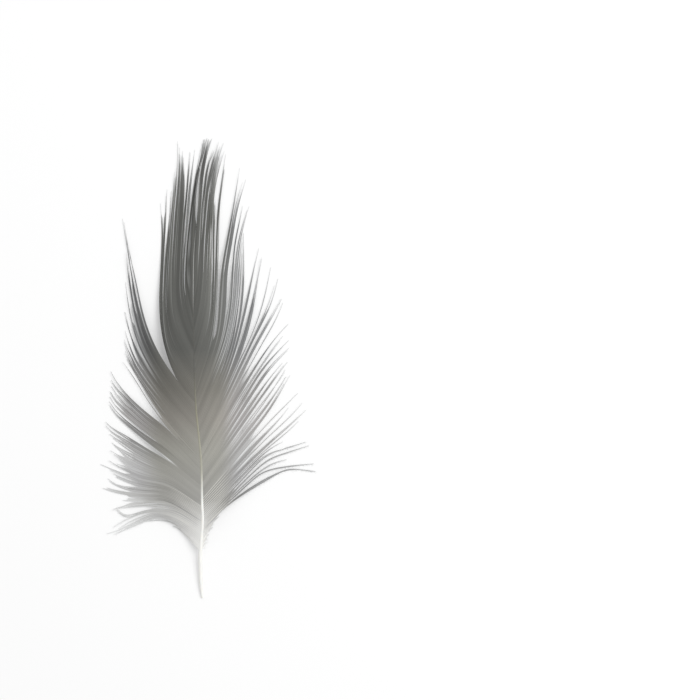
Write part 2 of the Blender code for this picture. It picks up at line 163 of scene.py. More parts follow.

# Each lock has its side, material slot, kind of parting and strands, from the tip of the feather down.
# Barbs cling together in strands. A strand is the place along the shaft where it grows, how far along it
# (0 to 1) the gap to the next strand opens, half its width at its tip, how much paler it is than its
# neighbours, and the points (x, y) that it passes through, the last of them its tip.
# A strand's paleness is partly its own layers of barbs and partly painted light and shade, where a band of
# barbs is turned more to or away from the light.
LOCKS = {
    "tuft_left": (LEFT, "dark_barbs", "tuft", [
        (28.6, 0.90, 0.20, 0.00, [(-2.8, 30.2), (-2.7, 34.6), (-2.1, 39.6), (-1.1, 43.8), (-0.6, 46.2)]),
        (16.0, 0.86, 0.20, -0.10, [(-3.6, 22.8), (-3.4, 26.8), (-3.0, 34.6), (-2.4, 39.2), (-1.4, 43.4),
            (-1.1, 46.2)]),
        (9.0, 0.17, 0.25, -0.10, [(-4.0, 13.0), (-4.6, 16.2), (-4.4, 23.4), (-3.8, 29.8), (-2.9, 37.0),
            (-1.6, 43.8), (-1.4, 46.0)]),
        (7.7, 0.45, 0.05, 0.10, [(-4.2, 11.6), (-5.1, 16.2), (-5.0, 23.0), (-4.6, 29.0), (-4.1, 35.4),
            (-3.4, 41.0), (-3.0, 44.0)]),
        (6.4, 0.70, 0.10, 0.05, [(-4.4, 10.2), (-5.5, 15.4), (-5.5, 22.0), (-5.1, 29.0), (-4.4, 36.2),
            (-3.9, 44.4)]),
        (4.7, 0.95, 0.10, 0.00, [(-4.6, 8.2), (-6.1, 13.4), (-6.2, 20.0), (-6.0, 27.4), (-5.6, 36.2),
            (-5.4, 44.0)]),
        (2.7, 0.50, 0.16, 0.05, [(-4.8, 6.2), (-6.7, 11.4), (-7.0, 18.4), (-6.8, 25.8), (-6.2, 35.4),
            (-5.9, 44.8)]),
        (0.1, 0.95, 0.16, 0.70, [(-4.9, 3.6), (-7.3, 8.8), (-8.0, 15.4), (-7.8, 23.0), (-7.3, 31.0),
            (-6.6, 38.6), (-6.4, 45.6)]),
        (-1.6, 0.95, 0.12, 0.30, [(-5.0, 1.8), (-7.6, 6.8), (-8.5, 13.6), (-8.3, 21.9), (-7.8, 28.8),
            (-7.2, 37.0), (-6.9, 40.6)]),
        (-3.3, 0.46, 0.15, 0.35, [(-5.0, 0.0), (-7.8, 4.8), (-8.9, 12.0), (-8.7, 20.8), (-8.2, 26.8),
            (-7.7, 35.6)]),
        (-5.1, 0.95, 0.10, 0.10, [(-5.1, -2.0), (-8.3, 3.0), (-9.5, 10.6), (-9.5, 18.8), (-8.9, 28.8),
            (-8.5, 36.2)]),
        (-6.5, 0.15, 0.08, 0.15, [(-5.0, -3.6), (-7.4, 0.2), (-9.3, 6.4), (-10.0, 13.2), (-9.7, 22.8),
            (-9.6, 28.2), (-9.9, 33.2)]),
    ]),
    "tuft_right": (RIGHT, "dark_barbs", "tuft", [
        (28.4, 0.90, 0.20, 0.00, [(-2.3, 30.2), (-2.1, 34.6), (-1.75, 39.6), (-0.9, 43.8), (-0.25, 46.0)]),
        (16.0, 0.60, 0.25, 0.10, [(-2.5, 20.6), (-2.1, 28.0), (-1.8, 34.2), (-1.4, 39.0), (-0.5, 43.6),
            (0.3, 46.2)]),
        (11.2, 0.45, 0.04, 0.10, [(-2.2, 16.2), (-1.8, 22.6), (-1.5, 30.6), (-0.8, 38.2), (-0.2, 41.2),
            (0.9, 43.8)]),
        (9.0, 0.32, 0.16, -0.05, [(-1.9, 14.8), (-1.5, 22.4), (-1.2, 29.4), (-0.3, 37.4), (0.3, 39.8),
            (1.9, 45.6)]),
        (5.7, 0.34, 0.20, 0.05, [(-1.8, 10.0), (-0.9, 16.4), (-0.6, 25.6), (0.0, 34.2), (0.9, 40.2),
            (2.5, 45.6)]),
        (2.6, 0.42, 0.20, 0.20, [(-1.6, 7.0), (-0.3, 13.4), (-0.1, 22.6), (0.4, 34.0), (1.3, 40.2),
            (2.9, 46.0)]),
        (0.2, 0.50, 0.10, 0.45, [(-1.5, 4.8), (0.0, 11.0), (0.3, 19.4), (0.5, 29.4), (1.1, 37.4),
            (3.2, 45.2)]),
        (-0.9, 0.37, 0.05, 0.10, [(-1.3, 3.8), (0.3, 10.2), (0.7, 19.6), (0.8, 27.4), (1.1, 35.6)]),
        (-3.7, 0.60, 0.08, 0.00, [(-1.2, 0.8), (0.4, 6.4), (1.1, 13.0), (1.4, 23.6), (1.6, 30.8),
            (2.4, 37.8), (3.3, 43.6)]),
        (-4.6, 0.24, 0.08, 0.00, [(-1.2, 0.0), (0.7, 5.8), (1.45, 13.2), (1.7, 23.8), (1.8, 31.6),
            (2.6, 37.6), (3.0, 40.2)]),
    ]),
    "left_spire": (LEFT, "dark_barbs", "spire", [
        (-7.0, 0.58, 0.12, 0.12, [(-6.8, -1.6), (-10.1, 3.2), (-12.6, 8.8), (-14.0, 14.0), (-15.1, 19.0),
            (-16.2, 23.8), (-16.7, 26.2)]),
        (-8.4, 0.66, 0.16, 0.08, [(-7.4, -2.2), (-11.2, 3.4), (-13.5, 9.0), (-14.8, 14.0), (-15.6, 18.8),
            (-16.4, 23.8), (-17.2, 28.6), (-17.6, 31.2)]),
        (-9.8, 0.70, 0.08, 0.20, [(-8.0, -3.2), (-12.3, 3.6), (-14.5, 9.4), (-15.5, 14.4), (-16.2, 19.0),
            (-16.6, 24.2)]),
        (-11.2, 0.64, 0.05, 0.25, [(-8.8, -3.8), (-13.3, 3.0), (-15.5, 8.8), (-16.5, 13.8), (-16.9, 18.0)]),
        (-12.5, 0.64, 0.05, 0.25, [(-9.4, -4.4), (-14.0, 2.2), (-16.2, 7.8), (-17.0, 11.6)]),
        (-13.8, 0.66, 0.05, 0.30, [(-9.6, -5.6), (-14.4, 0.8), (-16.5, 5.8), (-17.1, 8.4)]),
        (-15.1, 0.68, 0.05, 0.30, [(-10.0, -6.2), (-14.5, -0.4), (-16.7, 4.2), (-17.3, 6.4)]),
        (-16.3, 0.62, 0.05, 0.25, [(-9.8, -7.4), (-14.2, -1.6), (-16.6, 2.4), (-17.3, 4.0)]),
        (-17.5, 0.44, 0.05, 0.15, [(-9.4, -8.8), (-13.3, -3.2), (-16.0, 1.0), (-16.8, 2.2)]),
        (-18.5, 0.22, 0.07, 0.10, [(-8.0, -12.0), (-11.8, -7.0), (-14.9, -2.1), (-17.8, 2.0)]),
    ]),
    "left_upper": (LEFT, "grey_barbs", "sweep", [
        (-19.0, 0.74, 0.09, -0.20, [(-7.5, -12.7), (-12.0, -9.2), (-16.0, -5.8), (-19.3, -1.8),
            (-20.0, 0.2)]),
        (-19.7, 0.78, 0.09, -0.12, [(-7.6, -13.6), (-12.4, -10.0), (-16.5, -6.4), (-19.4, -3.0),
            (-19.9, -1.6)]),
        (-20.4, 0.76, 0.09, -0.05, [(-7.6, -14.5), (-12.6, -10.9), (-16.7, -7.3), (-19.4, -4.4),
            (-19.8, -3.2)]),
        (-21.1, 0.76, 0.09, 0.05, [(-7.7, -15.4), (-12.8, -11.8), (-17.0, -8.3), (-19.7, -5.6),
            (-20.0, -4.4)]),
        (-21.7, 0.40, 0.09, 0.10, [(-7.8, -16.2), (-12.4, -12.8), (-16.8, -9.4), (-19.7, -6.6),
            (-20.1, -5.6)]),
        (-22.3, 0.76, 0.09, -0.20, [(-7.7, -17.0), (-12.4, -13.8), (-16.6, -10.4), (-19.6, -7.6),
            (-20.1, -6.4)]),
        (-22.9, 0.28, 0.09, -0.32, [(-7.4, -18.3), (-12.4, -14.6), (-16.4, -11.4), (-19.5, -8.4),
            (-20.0, -7.2)]),
    ]),
    "left_middle": (LEFT, "grey_barbs", "sweep", [
        (-23.3, 0.72, 0.12, -0.32, [(-7.2, -18.9), (-12.0, -16.2), (-17.0, -13.2), (-20.2, -11.3),
            (-21.2, -10.0)]),
        (-24.0, 0.76, 0.12, -0.15, [(-7.3, -19.6), (-12.6, -16.9), (-17.5, -14.1), (-20.3, -12.2),
            (-20.8, -11.3)]),
        (-24.7, 0.74, 0.12, -0.05, [(-7.4, -20.3), (-12.8, -17.8), (-17.6, -14.9), (-20.1, -13.0)]),
        (-25.4, 0.76, 0.12, 0.00, [(-7.5, -21.1), (-13.2, -18.8), (-17.8, -16.2), (-20.0, -14.4)]),
        (-26.1, 0.78, 0.12, 0.05, [(-7.7, -21.8), (-13.4, -19.9), (-18.2, -17.5), (-20.4, -15.9)]),
        (-26.8, 0.84, 0.12, 0.05, [(-7.8, -22.7), (-13.8, -21.5), (-18.5, -19.4), (-20.6, -17.8)]),
    ]),
    "left_lower": (LEFT, "pale_barbs", "sweep", [
        (-27.3, 0.66, 0.30, 0.05, [(-7.8, -23.4), (-13.6, -22.4), (-18.1, -20.6), (-22.4, -18.8)]),
        (-28.0, 0.68, 0.35, 0.18, [(-8.0, -24.1), (-13.6, -23.3), (-17.8, -21.8), (-19.6, -20.9)]),
        (-28.7, 0.66, 0.40, 0.20, [(-8.1, -24.8), (-13.8, -24.3), (-18.4, -23.5), (-20.7, -21.9)]),
        (-29.4, 0.70, 0.40, 0.26, [(-8.2, -25.5), (-13.8, -25.4), (-18.8, -24.6), (-21.6, -23.7)]),
        (-30.0, 0.74, 0.40, 0.36, [(-8.2, -26.2), (-13.8, -26.3), (-18.0, -26.1)]),
    ]),
    "left_down": (LEFT, "down_barbs", "down", [
        (-30.5, 0.50, 0.25, 0.30, [(-8.2, -26.8), (-13.6, -26.8), (-18.0, -27.5), (-19.8, -28.1)]),
        (-31.2, 0.52, 0.25, 0.18, [(-6.4, -28.1), (-12.0, -27.3), (-16.6, -27.9), (-18.8, -28.2)]),
        (-31.9, 0.50, 0.20, 0.05, [(-6.8, -28.8), (-12.2, -28.4), (-16.0, -29.8), (-17.8, -29.3),
            (-18.9, -28.0)]),
        (-32.6, 0.45, 0.18, 0.05, [(-6.2, -29.6), (-11.8, -28.5), (-16.4, -30.2), (-19.4, -32.0)]),
        (-33.3, 0.45, 0.15, -0.05, [(-5.4, -30.3), (-10.8, -28.9), (-16.0, -31.2), (-20.0, -33.0),
            (-21.8, -33.1)]),
        (-34.1, 0.40, 0.15, 0.05, [(-4.8, -31.4), (-10.0, -29.3), (-15.2, -31.3), (-19.6, -33.4)]),
        (-35.0, 0.35, 0.15, 0.10, [(-4.0, -32.9), (-8.4, -30.3), (-12.8, -30.6)]),
        (-36.0, 1.00, 0.10, 0.10, [(-3.1, -34.8), (-6.0, -32.0), (-7.6, -31.3)]),
    ]),
    "right_inner": (RIGHT, "dark_barbs", "tuft", [
        (-5.1, 0.56, 0.08, -0.05, [(1.3, 6.0), (2.0, 13.8), (2.4, 19.8), (3.4, 25.8), (4.5, 31.8),
            (6.0, 40.6)]),
        (-6.8, 0.44, 0.07, 0.05, [(2.1, 5.4), (3.2, 13.4), (3.4, 19.8), (4.4, 26.0), (5.3, 32.0),
            (7.0, 38.2)]),
        (-8.3, 0.46, 0.05, 0.20, [(2.5, 4.2), (4.2, 12.2), (4.6, 18.8), (5.0, 24.6), (6.1, 29.8),
            (6.9, 34.0)]),
        (-9.7, 0.86, 0.07, -0.05, [(2.9, 3.0), (4.6, 10.4), (5.2, 17.0), (5.5, 22.8), (6.3, 27.6),
            (7.8, 32.8)]),
        (-10.5, 0.27, 0.06, 0.00, [(3.2, 2.1), (5.05, 10.1), (5.7, 16.8), (6.0, 22.8), (6.6, 27.6)]),
    ]),
    "right_upper_fan": (RIGHT, "grey_barbs", "fan", [
        (-11.0, 0.46, 0.05, 0.00, [(3.3, 1.4), (5.3, 9.8), (6.0, 16.6), (6.3, 22.6), (6.6, 26.2)]),
        (-12.1, 0.44, 0.04, 0.10, [(3.6, 0.3), (5.9, 9.4), (6.7, 16.8), (6.7, 23.6), (6.7, 27.6)]),
        (-13.1, 0.44, 0.04, 0.00, [(3.8, -0.7), (6.0, 7.0), (7.6, 13.6), (8.7, 20.1), (9.9, 25.0)]),
        (-14.1, 0.44, 0.04, 0.05, [(4.1, -1.4), (6.9, 5.8), (8.4, 12.2), (9.4, 17.6), (10.4, 22.4)]),
        (-15.0, 0.45, 0.04, 0.10, [(4.5, -2.0), (7.7, 5.4), (10.1, 10.9), (11.4, 15.8), (12.2, 20.4)]),
        (-15.8, 0.46, 0.04, 0.10, [(4.9, -2.6), (8.3, 5.2), (10.8, 10.1), (12.5, 13.9), (13.6, 19.0)]),
        (-16.5, 0.47, 0.04, 0.10, [(5.2, -3.2), (9.1, 4.8), (12.2, 10.1), (14.2, 13.7), (15.2, 15.8)]),
        (-17.2, 0.48, 0.04, 0.12, [(5.6, -3.8), (9.8, 4.0), (13.2, 9.6), (14.6, 12.5), (14.8, 14.0)]),
    ]),
    "right_middle_fan": (RIGHT, "grey_barbs", "fan", [
        (-17.8, 0.48, 0.05, -0.05, [(6.0, -4.4), (9.6, 1.3), (12.7, 6.0), (15.9, 9.2)]),
        (-18.7, 0.49, 0.04, 0.00, [(6.4, -5.2), (10.6, 1.1), (13.6, 5.6), (15.4, 7.5)]),
        (-19.6, 0.50, 0.05, -0.05, [(6.6, -6.2), (10.6, 0.3), (14.3, 4.3), (16.1, 6.2)]),
        (-20.5, 0.50, 0.06, -0.15, [(10.6, -1.5), (14.0, 2.3), (16.0, 4.2)]),
        (-21.4, 0.50, 0.04, 0.00, [(10.4, -4.0), (13.9, 0.5), (15.5, 2.4)]),
        (-22.3, 0.50, 0.05, -0.05, [(10.6, -5.2), (13.6, -0.8), (15.5, 1.5)]),
        (-23.2, 0.50, 0.06, 0.10, [(11.0, -6.4), (14.2, -1.7), (15.5, 0.4)]),
        (-24.1, 0.50, 0.05, 0.10, [(11.2, -7.8), (14.2, -3.1), (15.5, -0.9)]),
        (-25.0, 0.48, 0.05, 0.00, [(11.0, -9.6), (14.4, -3.9), (16.0, -1.2)]),
    ]),
    "right_lower_fan": (RIGHT, "pale_barbs", "fan", [
        (-25.7, 0.48, 0.05, 0.05, [(11.0, -11.4), (14.0, -8.4), (17.7, -4.7)]),
        (-26.4, 0.47, 0.05, 0.00, [(11.7, -12.3), (14.7, -9.1), (16.0, -7.2)]),
        (-27.1, 0.44, 0.05, 0.05, [(11.0, -14.2), (14.2, -11.3), (18.0, -7.4), (19.1, -5.8)]),
        (-27.8, 0.42, 0.05, -0.05, [(11.4, -15.3), (15.2, -12.1), (19.6, -7.7)]),
        (-28.5, 0.38, 0.08, -0.15, [(11.0, -16.2), (14.7, -13.4), (18.3, -9.8)]),
        (-29.1, 0.32, 0.04, -0.05, [(10.8, -16.9), (14.8, -14.4)]),
        (-29.8, 0.26, 0.04, 0.05, [(10.6, -17.5), (15.4, -15.9)]),
    ]),
    "right_down": (RIGHT, "down_barbs", "down", [
        (-30.2, 0.28, 0.04, 0.05, [(10.4, -18.1), (15.2, -15.9), (20.2, -14.2)]),
        (-30.6, 0.30, 0.04, 0.05, [(10.4, -19.0), (14.8, -16.8), (21.2, -14.5)]),
        (-31.0, 0.26, 0.04, 0.15, [(10.2, -20.2), (15.8, -17.7)]),
        (-31.4, 0.22, 0.05, -0.05, [(8.8, -21.9), (11.6, -20.3), (15.0, -19.8), (21.8, -19.1)]),
        (-31.9, 0.14, 0.05, -0.15, [(1.1, -29.2), (4.6, -26.4), (8.8, -23.6), (13.3, -21.0),
            (15.6, -19.9), (19.6, -20.3), (21.4, -20.7)]),
        (-32.6, 0.10, 0.40, 0.00, [(0.4, -30.6), (1.9, -29.2)]),
        (-33.4, 0.10, 0.40, 0.05, [(0.0, -31.5), (1.2, -30.3)]),
        (-34.4, 0.10, 0.40, 0.10, [(-0.4, -32.8), (0.4, -31.9)]),
        (-35.4, 0.10, 0.40, 0.10, [(-0.9, -34.1), (-0.4, -33.4)]),
        (-36.0, 1.00, 0.04, 0.10, [(-1.1, -35.0), (-0.8, -34.5)]),
    ]),
}

VANE_LOCKS = [name for name, lock in LOCKS.items() if lock[1] != "down_barbs"]
DOWN_LOCKS = [name for name, lock in LOCKS.items() if lock[1] == "down_barbs"]

# Where barbs grow from the shaft, in shares of its radius: above and beside its centre
ROOT_RISE = 0.65
ROOT_INSET = 0.55

# The share of a barb that lies flat on the floor
RESTING_PART = 0.10

# Gaps between strands, in shares of a barb's length: the run over which a gap's edges come apart, the run
# over which its barbs grow free, the start of a gap that never opens, and a place just past the tip
OPENING_RUN = 0.06
FREEING_RUN = 0.25
NEVER = 3.0
PAST_TIP = 1.0001

# The least spread of a strand, how much its tip narrows, how late it does, and the least distance that
# is divided by
LEAST_SPREAD = 0.02
STRAND_NARROWING = 0.5
NARROWING_POWER = 6
LEAST_DISTANCE = 0.05

# The furthest that a strand's neighbour can draw its barbs, and a length too small to matter
STRAND_REACH = 2.2
TINY = 1e-6

# How much of each drawn shade goes to a barb and to its neighbours
SHADE_BLEND = [0.45, 0.7, 0.45]

# How ragged a strand is in its middle, and how much more so at its edge
RAGGED_MIDDLE = 0.3
RAGGED_EDGE = 1.4

# The number and the strength of the waves in a free barb, and how far free barbs are stacked
WAVE_COUNTS = (0.5, 1.6)
WAVE_STRENGTHS = (0.3, 1)
STACKING = 0.10

# Where a strand takes on its own shade, from the start of its gap, which counts up to LATEST_SHADE
SHADE_RUN = (-0.35, 0.1)
LATEST_SHADE = 0.6

# The steepest that a web is laid to meet its neighbour's, the distance past a barb's end over which its
# neighbour's web lets go, the most of a gap that a free web fills, and the room where there is no neighbour
STEEPEST = 0.8
LETTING_GO = 0.5
FREE_WEB_PART = 0.3
OPEN_ROOM = 5.0

# How much free webs narrow at their tips, and from which share of the length
WEB_NARROWING = 0.75
NARROWS_FROM = 0.82

# Where a split within a strand starts, how much fraying differs between barbs, and the run of a fray
SPLIT_STARTS = (0.35, 1.0)
FRAY_FACTORS = (0.8, 1.08)
FRAY_RUN = 0.10

# The run over which an edge turns pale, how much that differs, how much of it an edge has on its side
# towards the feather's tip, and half the run over which a border does. These pale edges are painted light
# beside gaps
EDGE_FADE = 0.2
EDGE_FACTORS = (0.4, 1.2)
TIP_SIDE_EDGE = 0.5
BORDER_FADE = 0.05

# How pale a stretched web turns, and between which gaps
STRETCHED_PALING = 0.6
STRETCHED_GAPS = (0.5, 1.3)

# The section of the one barb reaches 1 to each side. Up to RIDGE_TOP lies the middle of its ridge, from
# WEB_EDGE the edge of its web, and between them the ridge's sides, which are drawn in to RIDGE_SIDES.
# SIDE_HEIGHT is their height as a share of the ridge's, and RIDGE_TAPER how much the ridge tapers.
RIDGE_TOP = 0.1
WEB_EDGE = 0.9
RIDGE_SIDES = 0.3
SIDE_HEIGHT = 0.5
RIDGE_TAPER = 0.65

# The map for baking. Each barb has a strip of it, with its top and underside low and its barbules high.
# RIDGE_ON_MAP is the ridge's share of its width. CAP_ON_MAP and POINT_ON_MAP give some size to faces that
# are square to the map, and BARBULE_SLANT gives some width to the sides of a barbule.
MAP_START = 0.01
MAP_LENGTH = 0.98
BARBS_ON_MAP = (0.04, 0.50)
BARBULES_ON_MAP = (0.60, 0.34)
RIDGE_ON_MAP = 0.35
CAP_ON_MAP = 0.004
POINT_ON_MAP = 0.01
BARBULE_SLANT = 0.3
MAP_LIMITS = (0.004, 0.996)
FLAT = 0.001

# Barbules: their angle to the barb in degrees, the least of their length, how much shorter they are
# towards the barb's tip and how late, how far they rise and how much they curl
BARBULE_KINDS = {
    "downy": {
        "angle": (25, 60), "least": 0.4, "shortening": 0.5, "power": 2, "rise": (-0.5, 0.5),
        "curl": (-0.5, 0.5),
    },
    "firm": {
        "angle": (22, 34), "least": 0.6, "shortening": 0.6, "power": 3, "rise": (-0.03, 0.05),
        "curl": (-0.18, 0.0),
    },
}

# The most of a gap that firm and downy barbules fill, and how much of its web a hooked barbule crosses
BARBULE_ROOM = 0.35
DOWN_ROOM = 1.2
HOOKED_REACH = 0.9

# Where barbules stand on the ridge, as a share of half its width, and the distance from the barb's middle
# at which their colour starts
BARBULE_FOOT = 0.4
BARBULE_START = 0.03


def smoothstep(low, high, value):
    part = np.clip((value - low) / (high - low), 0, 1)
    return part * part * (3 - 2 * part)


def at_equal_distances(curve, count):
    """The curve as count + 1 points that are equal distances apart."""
    run = np.concatenate([[0], np.cumsum(np.linalg.norm(np.diff(curve, axis=0), axis=1))])
    want = np.linspace(0, run[-1], count + 1)
    return np.stack([np.interp(want, run, values) for values in curve.T], axis=1)


def smooth_through(points, count, evening=0):
    """Evenly spaced points on a smooth curve (Catmull-Rom) through the given points.

    Each round of evening draws every point but the ends halfway to the middle of its neighbours.
    """
    points = np.array(points, float)
    ends = np.vstack([points[:1], points, points[-1:]])
    t = np.linspace(0, 1, STEPS_EACH, endpoint=False)[:, None]
    stretches = []
    for a, b, c, d in zip(ends, ends[1:], ends[2:], ends[3:]):
        stretches.append(0.5 * (2 * b + (c - a) * t + (2 * a - 5 * b + 4 * c - d) * t**2
                                + (3 * b - a - 3 * c + d) * t**3))
    curve = at_equal_distances(np.vstack([*stretches, points[-1:]]), count)
    for _ in range(evening):
        curve[1:-1] = (curve[:-2] + 2 * curve[1:-1] + curve[2:]) / 4
    return curve


SHAFT_CURVE = smooth_through(SHAFT_STATIONS, SHAFT_ROWS)
BARB_SHARES = np.linspace(0, 1, BARB_ROWS + 1)


def shaft_at(y):
    """The shaft's sideways place and radius at distances along the feather."""
    along, sideways, radius = SHAFT_CURVE.T
    return np.interp(y, along, sideways), np.interp(y, along, radius)


def arch_height(y):
    """Height of the shaft's centre: the shaft is arched, and its two ends come down to the floor."""
    return END_HEIGHT + ARCH_RISE * (1 - (y / HALF_LENGTH) ** 2)


def barb_height(root_height, along):
    """Height of a barb: it leaves the shaft level and comes down to lie on the floor."""
    way_down = np.minimum(1.0, along / (1 - RESTING_PART))
    return LYING_HEIGHT + (root_height - LYING_HEIGHT) * (1 + np.cos(math.pi * way_down)) / 2


# Layout of the barbs


def beside_shaft(side, root_y):
    """The place in the shaft's side where a barb grows."""
    sideways, radius = shaft_at(root_y)
    return np.array([sideways + side * radius * ROOT_INSET, root_y])


def normals_of(line):
    """Unit vectors square to a line, seen from above."""
    step = np.gradient(line, axis=0)
    return np.stack([step[:, 1], -step[:, 0]], axis=1) / np.linalg.norm(step, axis=1)[:, None]


def spread_in_strand(apart, normals, gap_start, tip_width, parting):
    """The share of a strand's full spread that is left along it, once the gap beside it has opened."""
    s = BARB_SHARES
    distance = np.abs((apart * normals).sum(1)) + LEAST_DISTANCE
    free_part = np.clip((s - gap_start) / (PAST_TIP - gap_start), 0, 1)
    slit = parting["slit"] * smoothstep(0, parting["slit_run"], s - gap_start)
    spread = np.minimum(1 - slit / distance, 1 - free_part ** parting["power"])
    narrowed = 1 - STRAND_NARROWING * s**NARROWING_POWER
    spread = np.maximum(spread, 2 * tip_width * narrowed / distance)
    opened = smoothstep(gap_start, gap_start + OPENING_RUN, s)
    return 1 + (np.clip(spread, LEAST_SPREAD, 1) - 1) * opened


def lay_lock(name, barbs, draw):
    """The barbs of a lock, seen from above: each lies between two strands, and clings to the nearer one."""
    side, _, kind, strands = LOCKS[name]
    parting = PARTINGS[kind]
    strand_roots = np.array([strand[0] for strand in strands])
    strand_lines = np.stack([
        smooth_through([beside_shaft(side, strand[0]), *strand[4]], BARB_ROWS, parting["evening"])
        for strand in strands])
    count = round((strand_roots[0] - strand_roots[-1]) * parting["density"] / (barbs.spacing / MM))
    s = BARB_SHARES
    shades = np.convolve(draw.uniform(-1, 1, count + len(SHADE_BLEND)), SHADE_BLEND, "valid")
    laid = []
    for root, shade in zip(np.linspace(strand_roots[0], strand_roots[-1], count + 1), shades):
        place = np.interp(-root, -strand_roots, np.arange(len(strands)))
        before = min(int(place), len(strands) - 2)
        own = before + round(place - before)
        other = 2 * before + 1 - own
        off_centre = abs(place - own)
        gap_start = strands[before][1]
        _, _, tip_width, paler, _ = strands[own]
        apart = strand_lines[other] - strand_lines[own]
        reach = np.minimum(1, STRAND_REACH / (np.linalg.norm(apart, axis=1) + TINY))
        apart = apart * reach[:, None]
        spread = spread_in_strand(apart, normals_of(strand_lines[own]), gap_start, tip_width, parting)
        line = strand_lines[own] + apart * (off_centre * spread)[:, None]
        line += (beside_shaft(side, root) - line[0]) * ((1 - s) ** 2)[:, None]

        ragged = RAGGED_MIDDLE + RAGGED_EDGE * off_centre
        keep = 1 - parting["ragged"] * draw.uniform(0, 1) * ragged
        line = np.stack([np.interp(s * keep, s, values) for values in line.T], axis=1)
        free = smoothstep(gap_start, gap_start + FREEING_RUN, s)
        wave = np.sin(2 * math.pi * (draw.uniform(*WAVE_COUNTS) * s + draw.uniform(0, 1)))
        sideways = barbs.waviness / MM * draw.uniform(*WAVE_STRENGTHS) * wave * free
        sideways += parting["drift"] * draw.normal(0, 1) * free * s**2
        line += normals_of(line) * sideways[:, None]
        # A strand's own paleness: partly its layers of barbs, partly painted light and shade for how it is
        # turned
        own_shade = paler * smoothstep(*SHADE_RUN, s - min(gap_start, LATEST_SHADE))
        laid.append({
            "name": name, "owner": (name, own), "parting": parting, "root": root, "line": line, "free": free,
            "gap_after": gap_start if own == before else strands[own][1],
            "keep": keep,
            "pale": parting["paling"] * smoothstep(*parting["pale_run"], s) * (0.5 + off_centre),
            "tint": own_shade + shade * barbs.variation * parting["variation"],
        })
    return laid


def raise_line(barb, barbs, draw):
    """The barb's line with its height."""
    s = BARB_SHARES
    lift = barbs.tip_lift / MM * draw.uniform(0, 1) ** 2 * s**3
    stacking = draw.uniform(0, STACKING) * barb["free"]
    root_height = arch_height(barb["root"]) + shaft_at(barb["root"])[1] * ROOT_RISE
    height = barb_height(root_height, s * barb["keep"]) + lift + stacking
    return np.column_stack([barb["line"], height])


def gap_to(line, other):
    """For each point of a line: how far another line is, seen from above, how high it is there, and how
    far the point is past its end."""
    start = other[:-1]
    step = np.diff(other, axis=0)
    flat = step[:, :2]
    offset = line[:, None, :2] - start[None, :, :2]
    part = np.clip((offset * flat).sum(2) / (flat**2).sum(1), 0, 1)
    distance = np.linalg.norm(offset - part[..., None] * flat, axis=2)
    nearest = distance.argmin(1)
    points = np.arange(len(line))
    height = start[nearest, 2] + part[points, nearest] * step[nearest, 2]
    last = flat[-1] / np.linalg.norm(flat[-1])
    return distance[points, nearest], height, ((line[:, :2] - other[-1, :2]) * last).sum(1)


def hook_webs(line, other, opened, free, parting, barbs):
    """The width of a barb's web towards another, how far (0 to 1) the two are hooked, their slope and gap.

    The web is half the gap and a little more where they are hooked, and the free width where they part.
    """
    gap, height, past_end = gap_to(line, other)
    limit = parting["web_limit"]
    hooked = (1 - opened) * (1 - smoothstep(limit * parting["web_hold"], limit, gap))
    hooked = hooked * (1 - smoothstep(0, LETTING_GO, past_end))
    slope = np.clip((height - line[:, 2]) / np.maximum(gap, LEAST_DISTANCE), -STEEPEST, STEEPEST) * hooked
    width = np.maximum(gap * 0.5 * barbs.overlap * hooked, np.minimum(free, gap * FREE_WEB_PART))
    return width, hooked, slope, gap


def unit(vectors):
    """The vectors, each made 1 long."""
    return vectors / np.linalg.norm(vectors, axis=-1, keepdims=True)


